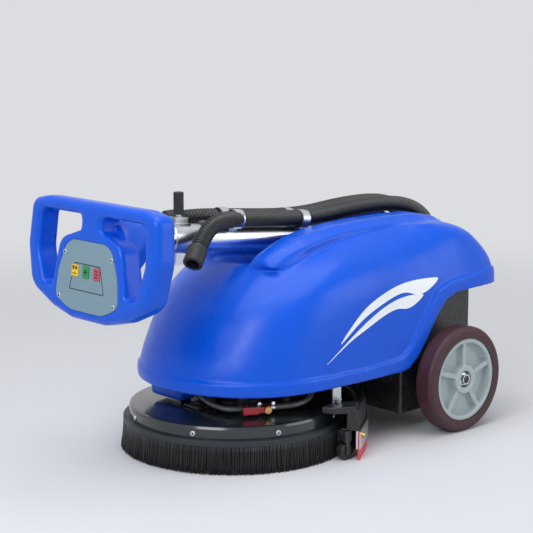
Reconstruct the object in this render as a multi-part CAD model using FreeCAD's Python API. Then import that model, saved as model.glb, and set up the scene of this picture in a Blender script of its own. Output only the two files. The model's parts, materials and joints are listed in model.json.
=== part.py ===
import FreeCAD, Part
import math
import os

# A walk-behind floor scrubber, stored with its handle folded forward over the tank hood.
# Millimetres. X runs from the brush deck to the wheels, Z is up, and the floor is Z = 0.
# Sizes are measured from the wheel axle; the finished pieces are moved so that the origin
# is on the floor under the middle of the machine. "Left" is the operator's left, at -Y.

V = FreeCAD.Vector
X_AXIS = V(1, 0, 0)
Y_AXIS = V(0, 1, 0)
Z_AXIS = V(0, 0, 1)
SIDES = {"left": -1, "right": 1}

# ---- Driving dimensions ----------------------------------------------------------------
AXLE_X = 270.0              # the axle is this far behind the origin
GAP = 0.4                   # clearance between pieces that move past each other
SHAFT_FIT = 0.05            # radial clearance of a shaft that turns in a bore
SHEET = 3.0                 # steel sheet of the chassis

# Wheels
WHEEL_R = 100.0
WHEEL_FACE = 238.7          # outer face of the tyre from the middle of the machine
TYRE_WIDTH = 41.0
TYRE_BORE_R = 78.0
TYRE_SHOULDER = 9.0
RIM_INNER_R = 70.0
RIM_SETBACK = 1.5           # the rim stands in from both tyre faces
HUB_R = 27.0
WEB = 7.0
SPOKES = 5
SPOKE_W = 9.0
BEARING_R = 16.0
BEARING_W = 11.0
AXLE_R = 7.5
AXLE_SHOULDER_R = 11.0
AXLE_FLANGE = 62.0
WASHER_R = 12.0
WASHER_T = 2.0
NUT_R = 10.5
NUT_T = 7.0

# Chassis and batteries
CHASSIS_FRONT = -98.0
CHASSIS_REAR = 95.0
CHASSIS_HALF_W = 162.0
CHASSIS_BOTTOM = 37.0
CHASSIS_TOP = 249.0
RAIL_Y = 80.0
RAIL_W = 20.0
RAIL_BOTTOM = 114.0        # clear of the squeegee when it is lifted
RAIL_H = 20.0
RAIL_END = -428.0
ARM_X = -335.0              # cross arm that carries the hood and the squeegee guides
ARM_W = 20.0
ARM_BOTTOM = 136.0
ARM_H = 14.0
BATTERY = V(176, 152, 165)
POST_R = 6.0
POST_H = 12.0

# Tank hood
HOOD_WALL = 4.0
RIM_PROUD = 4.0
RIM_BOTTOM = 128.0
RIM_TOP = 152.0
TAIL_CORNER = 42.0
STRIPE_T = 0.5
# level, nose, half width at the front, half width at the rear, tail, length of the nose curve
HOOD_LEVELS = (
    (128.0, -531.0, 196.0, 196.0, 151.0, 186.0),
    (152.0, -531.0, 196.0, 196.0, 151.0, 186.0),
    (200.0, -512.0, 195.0, 195.0, 151.0, 180.0),
    (250.0, -484.0, 192.5, 193.5, 150.5, 174.0),
    (300.0, -438.0, 186.0, 189.0, 149.0, 165.0),
    (330.0, -387.0, 172.0, 182.0, 132.0, 150.0),
    (355.0, -322.0, 147.0, 174.0, 109.0, 130.0),
    (374.0, -252.0, 122.0, 160.0, 80.0, 112.0),
    (386.0, -165.0, 96.0, 138.0, 18.0, 88.0),
)
ARCH = ((-134, 127), (-113, 134), (-92, 151), (-69, 180), (-48, 211), (-34, 231),
        (-17, 248), (8, 260), (53, 262), (200, 262))
ARCH_CREASE = ((-243, 150), (-174, 151), (-131, 156), (-107, 174), (-81, 210), (-57, 244),
               (-39, 270), (0, 284), (122, 292), (200, 292))
RIDGE_CREST = ((-378, 346), (-363, 357), (-330, 371), (-295, 381), (-250, 390), (-194, 396),
               (-124, 399), (-51, 400), (16, 398), (62, 389), (90, 376))
RIDGE_TOP_Y = 90.0          # outer edge of the flat top of a ridge
RIDGE_FOOT_Y = 112.0
RIDGE_DROP = 13.0
RIDGE_BASE = 335.0
CHANNEL_HALF_W = 50.0
CHANNEL_UNDER_TUBE = 20.0
CHANNEL_END = 141.0
STRIPE_UPPER = ((-37, 293), (-91, 294), (-150, 287), (-199, 272), (-245, 247), (-290, 205),
                (-257, 227), (-214, 250), (-168, 266), (-115, 274), (-64, 271))
STRIPE_LOWER = ((-77, 267), (-123, 267), (-168, 258), (-209, 242), (-260, 215), (-325, 173),
                (-277, 201), (-227, 222), (-175, 241), (-136, 247), (-104, 247))

# Tanks and machinery under the hood
TANK_X = (-402.0, -120.0)
TANK_HALF_W = 128.0
TANK_Z = (215.0, 298.0)
TANK_WALL = 4.0
SUMP_X = (-484.0, -441.5)
SUMP_Y = (16.0, 104.0)
SUMP_BOTTOM = 92.0
SOLUTION_X = (-470.0, -428.0)
SOLUTION_HALF_W = 98.0
SOLUTION_Z = (124.0, 214.0)
VACUUM_R = 40.0
VACUUM_LENGTH = 130.0
VACUUM_CENTRE = V(-20, -112, 298)
CONTROLLER = V(130, 72, 60)

# Handle: its tube lies along -X from the pivot, then the whole handle is tilted up
PIVOT_X = 66.0
PIVOT_Z = 338.5
TUBE_TILT = 5.4
TUBE_R = 24.0
TUBE_WALL = 2.0
TUBE_LENGTH = 700.0
LUG_R = 20.0
LUG_HALF_W = 25.0
PIN_R = 10.0
EAR_T = 6.0
SLEEVE_X = (-588.0, -522.0)
SLEEVE_R = TUBE_R + 2.0
HEAD_X = -735.0             # middle of the handle ring
HEAD_DEPTH = 44.0
HEAD_ROUND = 13.0
PANEL_FACE_X = -757.0
PANEL_T = 3.0
POD_FRONT_X = -756.0
NECK_END_X = -662.0
NECK_R = 44.0
COLLAR_W = 12.0
COLLAR_R = 41.0
BUTTON = (18.0, 20.0)       # width and height
BUTTON_PITCH = 30.0
BUTTON_Z = -55.0
BUTTON_PROUD = 1.6
BUTTON_TRAVEL = 1.2
PANEL_SCREW_R = 4.5
SCREW_SHANK_R = 2.0
PANEL_SCREWS = ((65.0, -27.0), (76.0, -103.0))

# Lift lever on the handle
LEVER_X = -567.0
LEVER_PIVOT_Z = 33.0
LEVER_R = 5.0
GRIP_R = 9.0
GRIP_LENGTH = 42.0
LEVER_PIN_R = 3.0
CABLE_R = 2.5

# Drain hoses on the handle
HOSE_R = 15.0
HOSE_Y = 20.0
HOSE_RISE = TUBE_R + HOSE_R - 2.5    # hose centre above the tube centre, at a clip
CUFF_R = 17.5
CUFF_LENGTH = 34.0
CLIP_XS = (-453.0, -292.0)
CLIP_W = 18.0
CLIP_T = 2.0
PORT_X = 128.0
PORT_Y = 30.0

# Brush deck
DECK_X = -368.3
CAP_R = 192.0
CAP_Z = (58.0, 81.0)
CAP_CROWN = 5.0
CAP_WALL = 4.0
BAND_R = 203.0
BAND_Z = (49.0, 59.0)
SKIRT_R = 208.6
SKIRT_T = 9.0
DECK_SCREWS = 8
DECK_SCREW_ANGLE = 27.0
DECK_SCREW_Z = 67.0
DECK_SCREW_R = 5.0
BRUSH_R = 180.0
BRUSH_HOLE_R = 62.0
BRUSH_BLOCK_Z = (27.0, 41.0)
MOTOR_R = 50.0
MOTOR_Z = (118.0, 204.0)
GEARBOX_R = 46.0
SHAFT_R = 10.0
STANDOFF_R = 10.0
STANDOFF_AT = (50.0, 80.0)  # from the middle of the deck

# Squeegee, an arc about the middle of the deck
SQ_BEND = 55.0              # half of the arc, from straight back; straight tails follow
SQ_TAIL = 65.0
SQ_FRONT_TAIL = 30.0
SQ_HOUSING_R = (219.0, 240.0)
SQ_HOUSING_Z = (56.0, 92.0)
SQ_BLADE_T = 3.2
SQ_REAR_R = 243.0
SQ_FRONT_R = 213.0
SQ_STRAP_T = 1.6
SQ_STRAP_Z = (20.0, 52.0)
SQ_NUT_RUNS = (-268.0, -134.0, 0.0, 134.0, 268.0)
SQ_NUT_Z = 42.0
HANGER_X = -290.0
HANGER_Y = 184.0
HANGER_W = 20.0
HANGER_T = 3.0
HANGER_TOP = 170.0
BRACKET_X = (-480.0, -440.0)
BRACKET_Y = (-32.0, 10.0)
CASTER_R = 15.0
CASTER_W = 15.0
CASTER_AT = (-296.0, 213.0)
SUCTION_R = 17.0
SUCTION_ANGLE = 12.0

# Feed hose, valve and their clamps, on the deck
FEED_R = 5.0
VALVE_AT = V(-404, -124, 96)
VALVE_YAW = -28.0
VALVE_LENGTH = 34.0
VALVE_R = 8.0
VALVE_LEVER = 44.0
STEM_R = 4.0
BARB_R = 3.6                # the hoses are pushed over the valve's barbs
CLAMP_W = 7.0

# Routes of the hoses, from the machine's axle
NEAR_HOSE = (V(-516, -65, 363), V(-481, -46, 399), V(-434, -34, 421.5), V(-372, -20, 417),
             V(-200, -20, 401), V(-70, -21, 413), V(35, -24, 411), V(98, -28, 388),
             V(126, -30, 345), V(128, -30, 296))
FAR_HOSE = (V(-488, 36, 420), V(-440, 30, 422), V(-372, 20, 417), V(-200, 20, 401),
            V(-70, 21, 413), V(35, 24, 411), V(98, 28, 388), V(126, 30, 345), V(128, 30, 296))
FEED_HOSE_SUMP = (V(-452, 15.5, 106), V(-460, -15, 104), V(-467, -50, 99), V(-464, -86, 96),
                  V(-443.7, -102.9, 96), V(-404, -124, 96))
FEED_HOSE_DECK = (V(-404, -124, 96), V(-373, -140.5, 96), V(-341, -149, 97), V(-308, -142, 103),
                  V(-292, -122, 122), V(-290, -104, 146))


# ---- Helpers ---------------------------------------------------------------------------
def box(x0, x1, y0, y1, z0, z1):
    """A box between two corners."""
    return Part.makeBox(x1 - x0, y1 - y0, z1 - z0, V(x0, y0, z0))


def rod(start, axis, radius, length):
    """A solid cylinder."""
    return Part.makeCylinder(radius, length, start, axis)


def ring(start, axis, outer, inner, length):
    """A tube."""
    return rod(start, axis, outer, length).cut(rod(start, axis, inner, length))


def fused(shapes):
    """One solid from shapes that touch."""
    return shapes[0].multiFuse(shapes[1:]).removeSplitter()


def prism(points, direction):
    """A polygon pushed along a direction."""
    return Part.Face(Part.makePolygon(list(points) + [points[0]])).extrude(direction)


def side_prism(profile, y0, y1):
    """A profile of X and Z pushed from y0 to y1."""
    return prism([V(x, y0, z) for x, z in profile], V(0, y1 - y0, 0))


def revolved(profile, centre):
    """A profile of radius and height turned about an upright axis."""
    face = Part.Face(Part.makePolygon([V(r, 0, z) for r, z in profile + profile[:1]]))
    solid = face.revolve(V(0, 0, 0), Z_AXIS, 360)
    solid.translate(centre)
    return solid


def rounded(shape, radius, keep):
    """The shape with a fillet on each edge that keep chooses."""
    return shape.makeFillet(radius, [edge for edge in shape.Edges if keep(edge)])


def rounded_outline(points, radii):
    """A closed wire through corner points, each corner an arc of its own radius."""
    edges = []
    ends = []
    for i, corner in enumerate(points):
        before = (points[i - 1] - corner).normalize()
        after = (points[(i + 1) % len(points)] - corner).normalize()
        half = before.getAngle(after) / 2
        reach = radii[i] / math.tan(half)
        middle = (before + after).normalize()
        top = corner + middle * (radii[i] / math.sin(half) - radii[i])
        ends.append((corner + before * reach, top, corner + after * reach))
    for i, (start, top, stop) in enumerate(ends):
        edges.append(Part.Arc(start, top, stop).toShape())
        edges.append(Part.makeLine(stop, ends[(i + 1) % len(ends)][0]))
    return Part.Wire(edges)


def hose(name, points, radius):
    """A round hose of straight runs joined by tangent arcs."""
    edges = []
    radii = []
    last = points[0]
    for i in range(1, len(points) - 1):
        corner = points[i]
        back = points[i - 1] - corner
        ahead = points[i + 1] - corner
        reach = 0.45 * min(back.Length, ahead.Length)
        back.normalize()
        ahead.normalize()
        half_turn = (math.pi - back.getAngle(ahead)) / 2
        bend = reach / math.tan(half_turn)
        middle = (back + ahead).normalize()
        top = corner + middle * (bend / math.cos(half_turn) - bend)
        edges.append(Part.makeLine(last, corner + back * reach))
        edges.append(Part.Arc(corner + back * reach, top, corner + ahead * reach).toShape())
        last = corner + ahead * reach
        radii.append(bend)
    edges.append(Part.makeLine(last, points[-1]))
    path = Part.Wire(edges)
    start = (points[1] - points[0]).normalize()
    section = Part.Wire(Part.makeCircle(radius, points[0], start))
    tube = path.makePipeShell([section], True, False)
    share = tube.Volume / (path.Length * math.pi * radius * radius)
    print(name, "length", round(path.Length), "least bend", round(min(radii)), "fill", round(share, 4))
    return tube


def on_handle(shape):
    """Moves a piece from the handle's own frame to the machine."""
    shape.rotate(V(0, 0, 0), Y_AXIS, TUBE_TILT)
    shape.translate(V(PIVOT_X, 0, PIVOT_Z))
    return shape


def tube_height(x):
    """Height of the tube's centre line at a place along the machine."""
    return PIVOT_Z + (PIVOT_X - x) * math.tan(math.radians(TUBE_TILT))


def about_deck(angle, radius, z):
    """A point at an angle from straight back, about the middle of the deck."""
    turn = math.radians(angle)
    return V(DECK_X + radius * math.cos(turn), radius * math.sin(turn), z)


def arc_wall(outer, inner, z0, z1, half_span):
    """A curved wall about the middle of the deck, open towards the front."""
    start = V(DECK_X, 0, z0)
    solid = Part.makeCylinder(outer, z1 - z0, start, Z_AXIS, 2 * half_span)
    solid = solid.cut(rod(start, Z_AXIS, inner, z1 - z0))
    solid.rotate(start, Z_AXIS, -half_span)
    return solid


def bow_wall(outer, inner, z0, z1, tail):
    """A curved wall round the back of the deck, with a straight tail at each end."""
    wall = arc_wall(outer, inner, z0, z1, SQ_BEND)
    for side in SIDES.values():
        y0 = min(0, side * tail)
        straight = box(DECK_X + inner, DECK_X + outer, y0, y0 + tail, z0, z1)
        straight.rotate(V(DECK_X, 0, 0), Z_AXIS, side * SQ_BEND)
        wall = wall.fuse(straight)
    return wall.removeSplitter()


def on_bow(run, radius, z):
    """A point on the squeegee, at a run along its middle line from straight back."""
    middle = sum(SQ_HOUSING_R) / 2
    arc_run = middle * math.radians(SQ_BEND)
    if abs(run) <= arc_run:
        return about_deck(math.degrees(run / middle), radius, z)
    side = math.copysign(1, run)
    turn = math.radians(side * SQ_BEND)
    tangent = V(-math.sin(turn), math.cos(turn), 0) * side
    return about_deck(side * SQ_BEND, radius, z) + tangent * (abs(run) - arc_run)


def save(name, shape):
    """Writes one piece, moved to the machine's own origin."""
    moved = shape.copy()
    moved.translate(V(AXLE_X, 0, 0))
    moved.exportStep("parts/" + name + ".step")


# ---- Wheels ----------------------------------------------------------------------------
def wheel_pieces(side):
    """Tyre, core, bearings, stub axle and nut of one wheel."""
    out = V(0, side, 0)

    def at(distance):
        return V(0, side * distance, WHEEL_R)

    inner_face = WHEEL_FACE - TYRE_WIDTH
    tyre = ring(at(inner_face), out, WHEEL_R, TYRE_BORE_R, TYRE_WIDTH)
    shoulder = min(TYRE_SHOULDER, 0.42 * (WHEEL_R - TYRE_BORE_R))
    tyre = rounded(tyre, shoulder, lambda e: e.BoundBox.ZMax > 2 * WHEEL_R - 1
                   and e.BoundBox.YLength < 1)

    core_start = inner_face + RIM_SETBACK
    core_width = TYRE_WIDTH - 2 * RIM_SETBACK
    rim = ring(at(core_start), out, TYRE_BORE_R, RIM_INNER_R, core_width)
    hub = rod(at(core_start), out, HUB_R, core_width)
    web = rod(at(WHEEL_FACE - TYRE_WIDTH / 2 - WEB / 2), out, RIM_INNER_R + 1, WEB)
    spokes = []
    spoke_width = core_width - 8
    for i in range(SPOKES):
        spoke = box(-SPOKE_W / 2, SPOKE_W / 2, 0, spoke_width, HUB_R - 2, RIM_INNER_R + 1)
        if side < 0:
            spoke.translate(V(0, -spoke_width, 0))
        spoke.rotate(V(0, 0, 0), Y_AXIS, i * 360 / SPOKES)
        spoke.translate(at(core_start + 4))
        spokes.append(spoke)
    core = fused([rim, hub, web] + spokes).cut(rod(at(core_start), out, BEARING_R, core_width))

    bearing_in = core_start + 3
    bearing_out = WHEEL_FACE - RIM_SETBACK - 8 - BEARING_W
    bearings = Part.makeCompound([ring(at(start), out, BEARING_R, AXLE_R + SHAFT_FIT, BEARING_W)
                                  for start in (bearing_in, bearing_out)])

    half = AXLE_FLANGE / 2
    flange = box(-half, half, 0, 8, -half, half)
    if side < 0:
        flange.translate(V(0, -8, 0))
    flange.translate(at(CHASSIS_HALF_W))
    shoulder_end = bearing_in - GAP
    washer_start = bearing_out + BEARING_W + GAP
    nut_start = washer_start + WASHER_T
    axle = fused([flange,
                  rod(at(CHASSIS_HALF_W), out, AXLE_SHOULDER_R, shoulder_end - CHASSIS_HALF_W),
                  rod(at(CHASSIS_HALF_W), out, AXLE_R, nut_start + NUT_T - 1 - CHASSIS_HALF_W)])
    washer = ring(at(washer_start), out, WASHER_R, AXLE_R, WASHER_T)
    corners = [V(NUT_R * math.cos(math.radians(60 * i)), side * nut_start,
                 WHEEL_R + NUT_R * math.sin(math.radians(60 * i))) for i in range(6)]
    nut = prism(corners, out * NUT_T).cut(rod(at(nut_start), out, AXLE_R, NUT_T))
    return tyre, core, bearings, axle, Part.makeCompound([washer, nut])


# ---- Chassis ---------------------------------------------------------------------------
def chassis_pieces():
    """Battery box, its cover, the front frame, and what stands in the box."""
    half = CHASSIS_HALF_W
    tray = box(CHASSIS_FRONT, CHASSIS_REAR, -half, half, CHASSIS_BOTTOM, CHASSIS_TOP)
    tray = rounded(tray, 6, lambda e: e.BoundBox.ZLength > 100)
    tray = tray.cut(box(CHASSIS_FRONT + SHEET, CHASSIS_REAR - SHEET, SHEET - half, half - SHEET,
                        CHASSIS_BOTTOM + SHEET, CHASSIS_TOP))
    cover = box(CHASSIS_FRONT, CHASSIS_REAR, -half, half, CHASSIS_TOP, CHASSIS_TOP + SHEET)
    cover = rounded(cover, 6, lambda e: e.BoundBox.ZLength > 2)

    rail_top = RAIL_BOTTOM + RAIL_H
    members = []
    for side in SIDES.values():
        y0 = side * RAIL_Y - RAIL_W / 2
        members.append(box(RAIL_END, CHASSIS_FRONT, y0, y0 + RAIL_W, RAIL_BOTTOM, rail_top))
        members.append(box(ARM_X - ARM_W / 2, ARM_X + ARM_W / 2, y0, y0 + RAIL_W, rail_top,
                           ARM_BOTTOM))
        hood_inside = HOOD_LEVELS[0][2] - HOOD_WALL - GAP / 2
        guide = box(ARM_X, HANGER_X + HANGER_W / 2 + 8, HANGER_Y - 14, hood_inside,
                    ARM_BOTTOM, ARM_BOTTOM + ARM_H)
        slot = box(HANGER_X - HANGER_W / 2 - GAP, HANGER_X + HANGER_W / 2 + GAP,
                   HANGER_Y - GAP, HANGER_Y + HANGER_T + GAP, 0, CHASSIS_TOP)
        guide = guide.cut(slot)
        if side < 0:
            guide = guide.mirror(V(0, 0, 0), Y_AXIS)
        members.append(guide)
        for x in (ARM_X, TANK_X[1] - 20):
            y = side * (RAIL_Y if x > ARM_X else RAIL_Y + 25)
            foot = rail_top if x > ARM_X else ARM_BOTTOM
            members.append(rod(V(x, y, foot - 2), Z_AXIS, 8, TANK_Z[0] - foot + 2))
    reach = HANGER_Y - 13
    members.append(box(ARM_X - ARM_W / 2, ARM_X + ARM_W / 2, -reach, reach, ARM_BOTTOM,
                       ARM_BOTTOM + ARM_H).cut(rod(V(DECK_X, 0, 0), Z_AXIS, MOTOR_R + 2, 300)))
    members.append(box(RAIL_END, RAIL_END + 14, -RAIL_Y, RAIL_Y, RAIL_BOTTOM, rail_top).cut(
        rod(V(DECK_X, 0, 0), Z_AXIS, MOTOR_R + 2, 300)))
    subframe = fused(members)

    floor = CHASSIS_BOTTOM + SHEET
    top = floor + BATTERY.z
    batteries = []
    posts = []
    for side in (-1, 1):
        y0 = side * (BATTERY.y / 2 + 2) - BATTERY.y / 2
        case = box(-BATTERY.x / 2, BATTERY.x / 2, y0, y0 + BATTERY.y, floor, top)
        batteries.append(rounded(case, 5, lambda e: e.BoundBox.ZLength > 100))
        for x in (-60, 60):
            posts.append(rod(V(x, side * (BATTERY.y / 2 + 2), top), Z_AXIS, POST_R, POST_H))
    posts.append(box(60 - POST_R, 60 + POST_R, -BATTERY.y / 2 - 2, BATTERY.y / 2 + 2,
                     top + POST_H, top + POST_H + 3))
    return tray, cover, subframe, Part.makeCompound(batteries), Part.makeCompound(posts)


# ---- Tank hood -------------------------------------------------------------------------
def hood_outline(level, offset):
    """The hood's plan outline at one level, grown by an offset."""
    z, nose, front_half, rear_half, tail, curve = level
    start = nose + curve
    rear = tail - TAIL_CORNER
    middle = (start + rear) / 2
    half = []
    for angle in (22, 44, 66, 90):
        turn = math.radians(angle)
        half.append((start - (curve + offset) * math.cos(turn),
                     (front_half + offset) * math.sin(turn)))
    half.append((middle, (front_half + rear_half) / 2 + offset))
    half.append((rear, rear_half + offset))
    half.append((rear + 0.71 * (TAIL_CORNER + offset), rear_half - 0.29 * TAIL_CORNER
                 + 0.71 * offset))
    half.append((tail + offset, rear_half - TAIL_CORNER))
    points = [V(nose - offset, 0, z)] + [V(x, y, z) for x, y in half]
    points += [V(tail + offset, 0, z)] + [V(x, -y, z) for x, y in reversed(half)]
    curve_shape = Part.BSplineCurve()
    curve_shape.interpolate(points, PeriodicFlag=True)
    return Part.Wire(curve_shape.toShape())


def hood_body(offset, levels=HOOD_LEVELS):
    """The hood's main form, grown or shrunk by an offset all round and on top."""
    wires = []
    for level in levels:
        lift = offset * (level[0] - RIM_TOP) / (levels[-1][0] - RIM_TOP) if level[0] > RIM_TOP else 0
        wires.append(hood_outline((level[0] + lift,) + level[1:], offset))
    return Part.makeLoft(wires, True, False)


def ridge(side):
    """One of the two ridges beside the handle channel."""
    inner = CHANNEL_HALF_W - 2

    def section(y, drop, shrink):
        crest = [V(x + shrink * (x < -300) * 8 - shrink * (x > 80) * 10, side * y, z - drop)
                 for x, z in RIDGE_CREST]
        base = [V(crest[-1].x + 6, side * y, RIDGE_BASE), V(crest[0].x, side * y, RIDGE_BASE)]
        return Part.makePolygon(crest + base + crest[:1])

    top = Part.makeLoft([section(inner, 0, 0), section(RIDGE_TOP_Y, 0, 0)], True, True)
    slope = Part.makeLoft([section(RIDGE_TOP_Y, 0, 0), section(RIDGE_FOOT_Y, RIDGE_DROP, 1)],
                          True, True)
    return top.fuse(slope).removeSplitter()


def channel(grow):
    """The open channel that the folded handle lies in."""
    floor_front = tube_height(-440) - TUBE_R - CHANNEL_UNDER_TUBE - grow
    floor_rear = tube_height(PIVOT_X) - TUBE_R - CHANNEL_UNDER_TUBE - grow
    profile = ((-440, floor_front), (PIVOT_X, floor_rear), (CHANNEL_END + grow, floor_rear),
               (CHANNEL_END + grow, 460), (-440, 460))
    half = CHANNEL_HALF_W + grow
    solid = side_prism(profile, -half, half)
    return rounded(solid, 14, lambda e: e.BoundBox.YLength < 1 and e.BoundBox.ZMax < 345
                   and e.BoundBox.XLength > 60)


def hood_pieces():
    """The hood shell and its side stripes."""
    far = 300
    outer = hood_body(0)
    grown = hood_body(RIM_PROUD)
    band_profile = [(-600, RIM_BOTTOM), (-600, RIM_TOP)] + list(ARCH_CREASE)
    band_profile += [(200, RIM_BOTTOM)]
    band = grown.common(side_prism(band_profile, -far, far))
    below = [(-600, 0), (-600, RIM_BOTTOM), (-150, RIM_BOTTOM)] + list(ARCH) + [(200, 0)]
    body = outer.fuse(band)
    for side in SIDES.values():
        body = body.fuse(ridge(side))
    cavity = hood_body(-HOOD_WALL).cut(channel(HOOD_WALL))
    slot = box(PIVOT_X - 32, PIVOT_X + 32, -40, 40, CHASSIS_TOP, PIVOT_Z)
    shell = body.cut(cavity).cut(channel(0)).cut(side_prism(below, -far, far)).cut(slot)
    for side in SIDES.values():
        shell = shell.cut(rod(V(PORT_X, side * PORT_Y, 270), Z_AXIS, HOSE_R - 1, 40))

    skin = hood_body(STRIPE_T).cut(outer)
    stripes = []
    for profile in (STRIPE_UPPER, STRIPE_LOWER):
        curve = Part.BSplineCurve()
        curve.interpolate([V(x, -far, z) for x, z in profile], PeriodicFlag=True)
        wide = Part.Face(Part.Wire(curve.toShape())).extrude(V(0, 2 * far, 0))
        stripes += skin.common(wide).Solids
    return shell, Part.makeCompound(stripes)


def under_hood_pieces():
    """Tanks, vacuum motor, controller and the ports of the drain hoses."""
    tank = box(TANK_X[0], TANK_X[1], -TANK_HALF_W, TANK_HALF_W, TANK_Z[0], TANK_Z[1])
    tank = rounded(tank, 18, lambda e: e.BoundBox.ZLength > 60)
    wall = TANK_WALL
    inside = box(TANK_X[0] + wall, TANK_X[1] - wall, wall - TANK_HALF_W, TANK_HALF_W - wall,
                 TANK_Z[0] + wall, TANK_Z[1] - wall)
    inside = rounded(inside, 14, lambda e: e.BoundBox.ZLength > 60)
    inlet = about_deck(SUCTION_ANGLE, sum(SQ_HOUSING_R) / 2, TANK_Z[0])
    stand = ring(inlet, Z_AXIS, SUCTION_R + 7, SUCTION_R + 3, TANK_Z[1] - TANK_Z[0] - 20)
    tank = tank.cut(inside).fuse(stand).cut(rod(inlet, Z_AXIS, SUCTION_R + 3, 20))

    main = box(SOLUTION_X[0], SOLUTION_X[1], -SOLUTION_HALF_W, SOLUTION_HALF_W, SOLUTION_Z[0],
               SOLUTION_Z[1])
    main = rounded(main, 10, lambda e: e.BoundBox.ZLength > 60)
    sump = box(SUMP_X[0], SUMP_X[1], SUMP_Y[0], SUMP_Y[1], SUMP_BOTTOM, SOLUTION_Z[0] + 10)
    sump = rounded(sump, 10, lambda e: e.BoundBox.ZMin < SUMP_BOTTOM + 1)
    solution = main.fuse(sump).removeSplitter()
    solution = solution.cut(rod(V(DECK_X, 0, 0), Z_AXIS, MOTOR_R + 4, 300))

    vacuum = rod(V(VACUUM_CENTRE.x - VACUUM_LENGTH / 2, VACUUM_CENTRE.y, VACUUM_CENTRE.z),
                 X_AXIS, VACUUM_R, VACUUM_LENGTH)
    vacuum = rounded(vacuum, 8, lambda e: e.Length > VACUUM_R * 6 and e.BoundBox.XLength < 1)
    cover_top = CHASSIS_TOP + SHEET
    feet = box(VACUUM_CENTRE.x - 40, VACUUM_CENTRE.x + 40, VACUUM_CENTRE.y - 20,
               VACUUM_CENTRE.y + 20, cover_top, VACUUM_CENTRE.z - VACUUM_R + 6)
    vacuum = vacuum.fuse(feet)
    controller = box(-85, -85 + CONTROLLER.x, 70, 70 + CONTROLLER.y, cover_top,
                     cover_top + CONTROLLER.z)
    controller = rounded(controller, 6, lambda e: e.BoundBox.ZLength > 40)

    floor = tube_height(PIVOT_X) - TUBE_R - CHANNEL_UNDER_TUBE
    ports = []
    for side in SIDES.values():
        foot = V(PORT_X, side * PORT_Y, floor)
        ports.append(ring(foot, Z_AXIS, HOSE_R + 3, HOSE_R + GAP, 14).fuse(
            ring(foot, Z_AXIS, HOSE_R + 3, HOSE_R - 2, 2)))
    return tank, solution, vacuum, controller, Part.makeCompound(ports)


# ---- Handle ----------------------------------------------------------------------------
def pivot_pieces():
    """Bracket on the chassis and the pivot pin with its end caps."""
    base = CHASSIS_TOP + SHEET
    ears = []
    for side in SIDES.values():
        y0 = side * (LUG_HALF_W + GAP + EAR_T / 2) - EAR_T / 2
        ear = prism([V(PIVOT_X - 26, y0, base), V(PIVOT_X + 26, y0, base),
                     V(PIVOT_X + 15, y0, PIVOT_Z), V(PIVOT_X - 15, y0, PIVOT_Z)], V(0, EAR_T, 0))
        ears.append(ear.fuse(rod(V(PIVOT_X, y0, PIVOT_Z), Y_AXIS, 15, EAR_T)))
    reach = LUG_HALF_W + GAP + EAR_T
    foot = box(PIVOT_X - 26, PIVOT_X + 26, -reach, reach, base, base + 6)
    bracket = fused(ears + [foot])
    start = V(PIVOT_X, -reach - 4, PIVOT_Z)
    bracket = bracket.cut(rod(start, Y_AXIS, PIN_R, 2 * reach + 8))
    pin = fused([rod(start, Y_AXIS, PIN_R, 2 * reach + 8), rod(start, Y_AXIS, 12, 4),
                 rod(V(PIVOT_X, reach, PIVOT_Z), Y_AXIS, 12, 4)])
    return Part.makeCompound([bracket, pin])


def tube_pieces():
    """Handle tube with its pivot lug, end sleeve with its hook, and the cable on its top."""
    joined = fused([rod(V(-TUBE_LENGTH, 0, 0), X_AXIS, TUBE_R, TUBE_LENGTH - LUG_R - 2),
                    box(-34, 0, 2 - LUG_HALF_W, LUG_HALF_W - 2, 3 - LUG_R, LUG_R - 3),
                    rod(V(0, -LUG_HALF_W, 0), Y_AXIS, LUG_R, 2 * LUG_HALF_W)])
    inside = rod(V(-TUBE_LENGTH, 0, 0), X_AXIS, TUBE_R - TUBE_WALL, TUBE_LENGTH - 40)
    bore = rod(V(0, -LUG_HALF_W, 0), Y_AXIS, PIN_R + SHAFT_FIT, 2 * LUG_HALF_W)
    tube = joined.cut(inside).cut(bore)

    lug = box(-575, -557, -9, 9, -46, -20)
    lug = rounded(lug, 4, lambda e: e.BoundBox.YLength > 10 and e.BoundBox.ZMax < -40)
    plug = rod(V(SLEEVE_X[0], 0, 0), X_AXIS, SLEEVE_R, SLEEVE_X[1] - SLEEVE_X[0])
    bore = rod(V(SLEEVE_X[0], 0, 0), X_AXIS, TUBE_R, SLEEVE_X[1] - SLEEVE_X[0])
    sleeve = rounded(plug, 1.5, lambda e: e.BoundBox.XLength < 1).cut(bore)
    hook = lug.cut(rod(V(-600, 0, 0), X_AXIS, SLEEVE_R, 80))

    cable_z = TUBE_R + CABLE_R + GAP
    cable = rod(V(SLEEVE_X[1] + 2, 0, cable_z), X_AXIS, CABLE_R, -SLEEVE_X[1] - 62)
    stops = []
    for x in (SLEEVE_X[1] + 2, -68):
        stop = rod(V(x, 0, cable_z), X_AXIS, CABLE_R + 2, 14)
        block = box(x + 2, x + 12, -3, 3, TUBE_R - 1, cable_z)
        stops.append(stop.fuse(block).cut(cable).cut(rod(V(x, 0, 0), X_AXIS, TUBE_R, 14)))
    return [on_handle(piece) for piece in (tube, sleeve.fuse(hook),
                                           Part.makeCompound([cable] + stops))]


def head_outline(x, inset):
    """The handle head's outline in its own plane."""
    corners = ((132, 63), (175, 55), (182, -24), (166, -96), (100, -125), (46, -138))
    radii = (50, 20, 60, 42, 60, 60)
    right = [V(x, y - inset * (y > 160), z - inset * (z > 0) + inset * (z < 0)) for y, z in corners]
    left = [V(x, -p.y, p.z) for p in reversed(right)]
    return rounded_outline(right + left, radii + radii[::-1])


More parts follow.
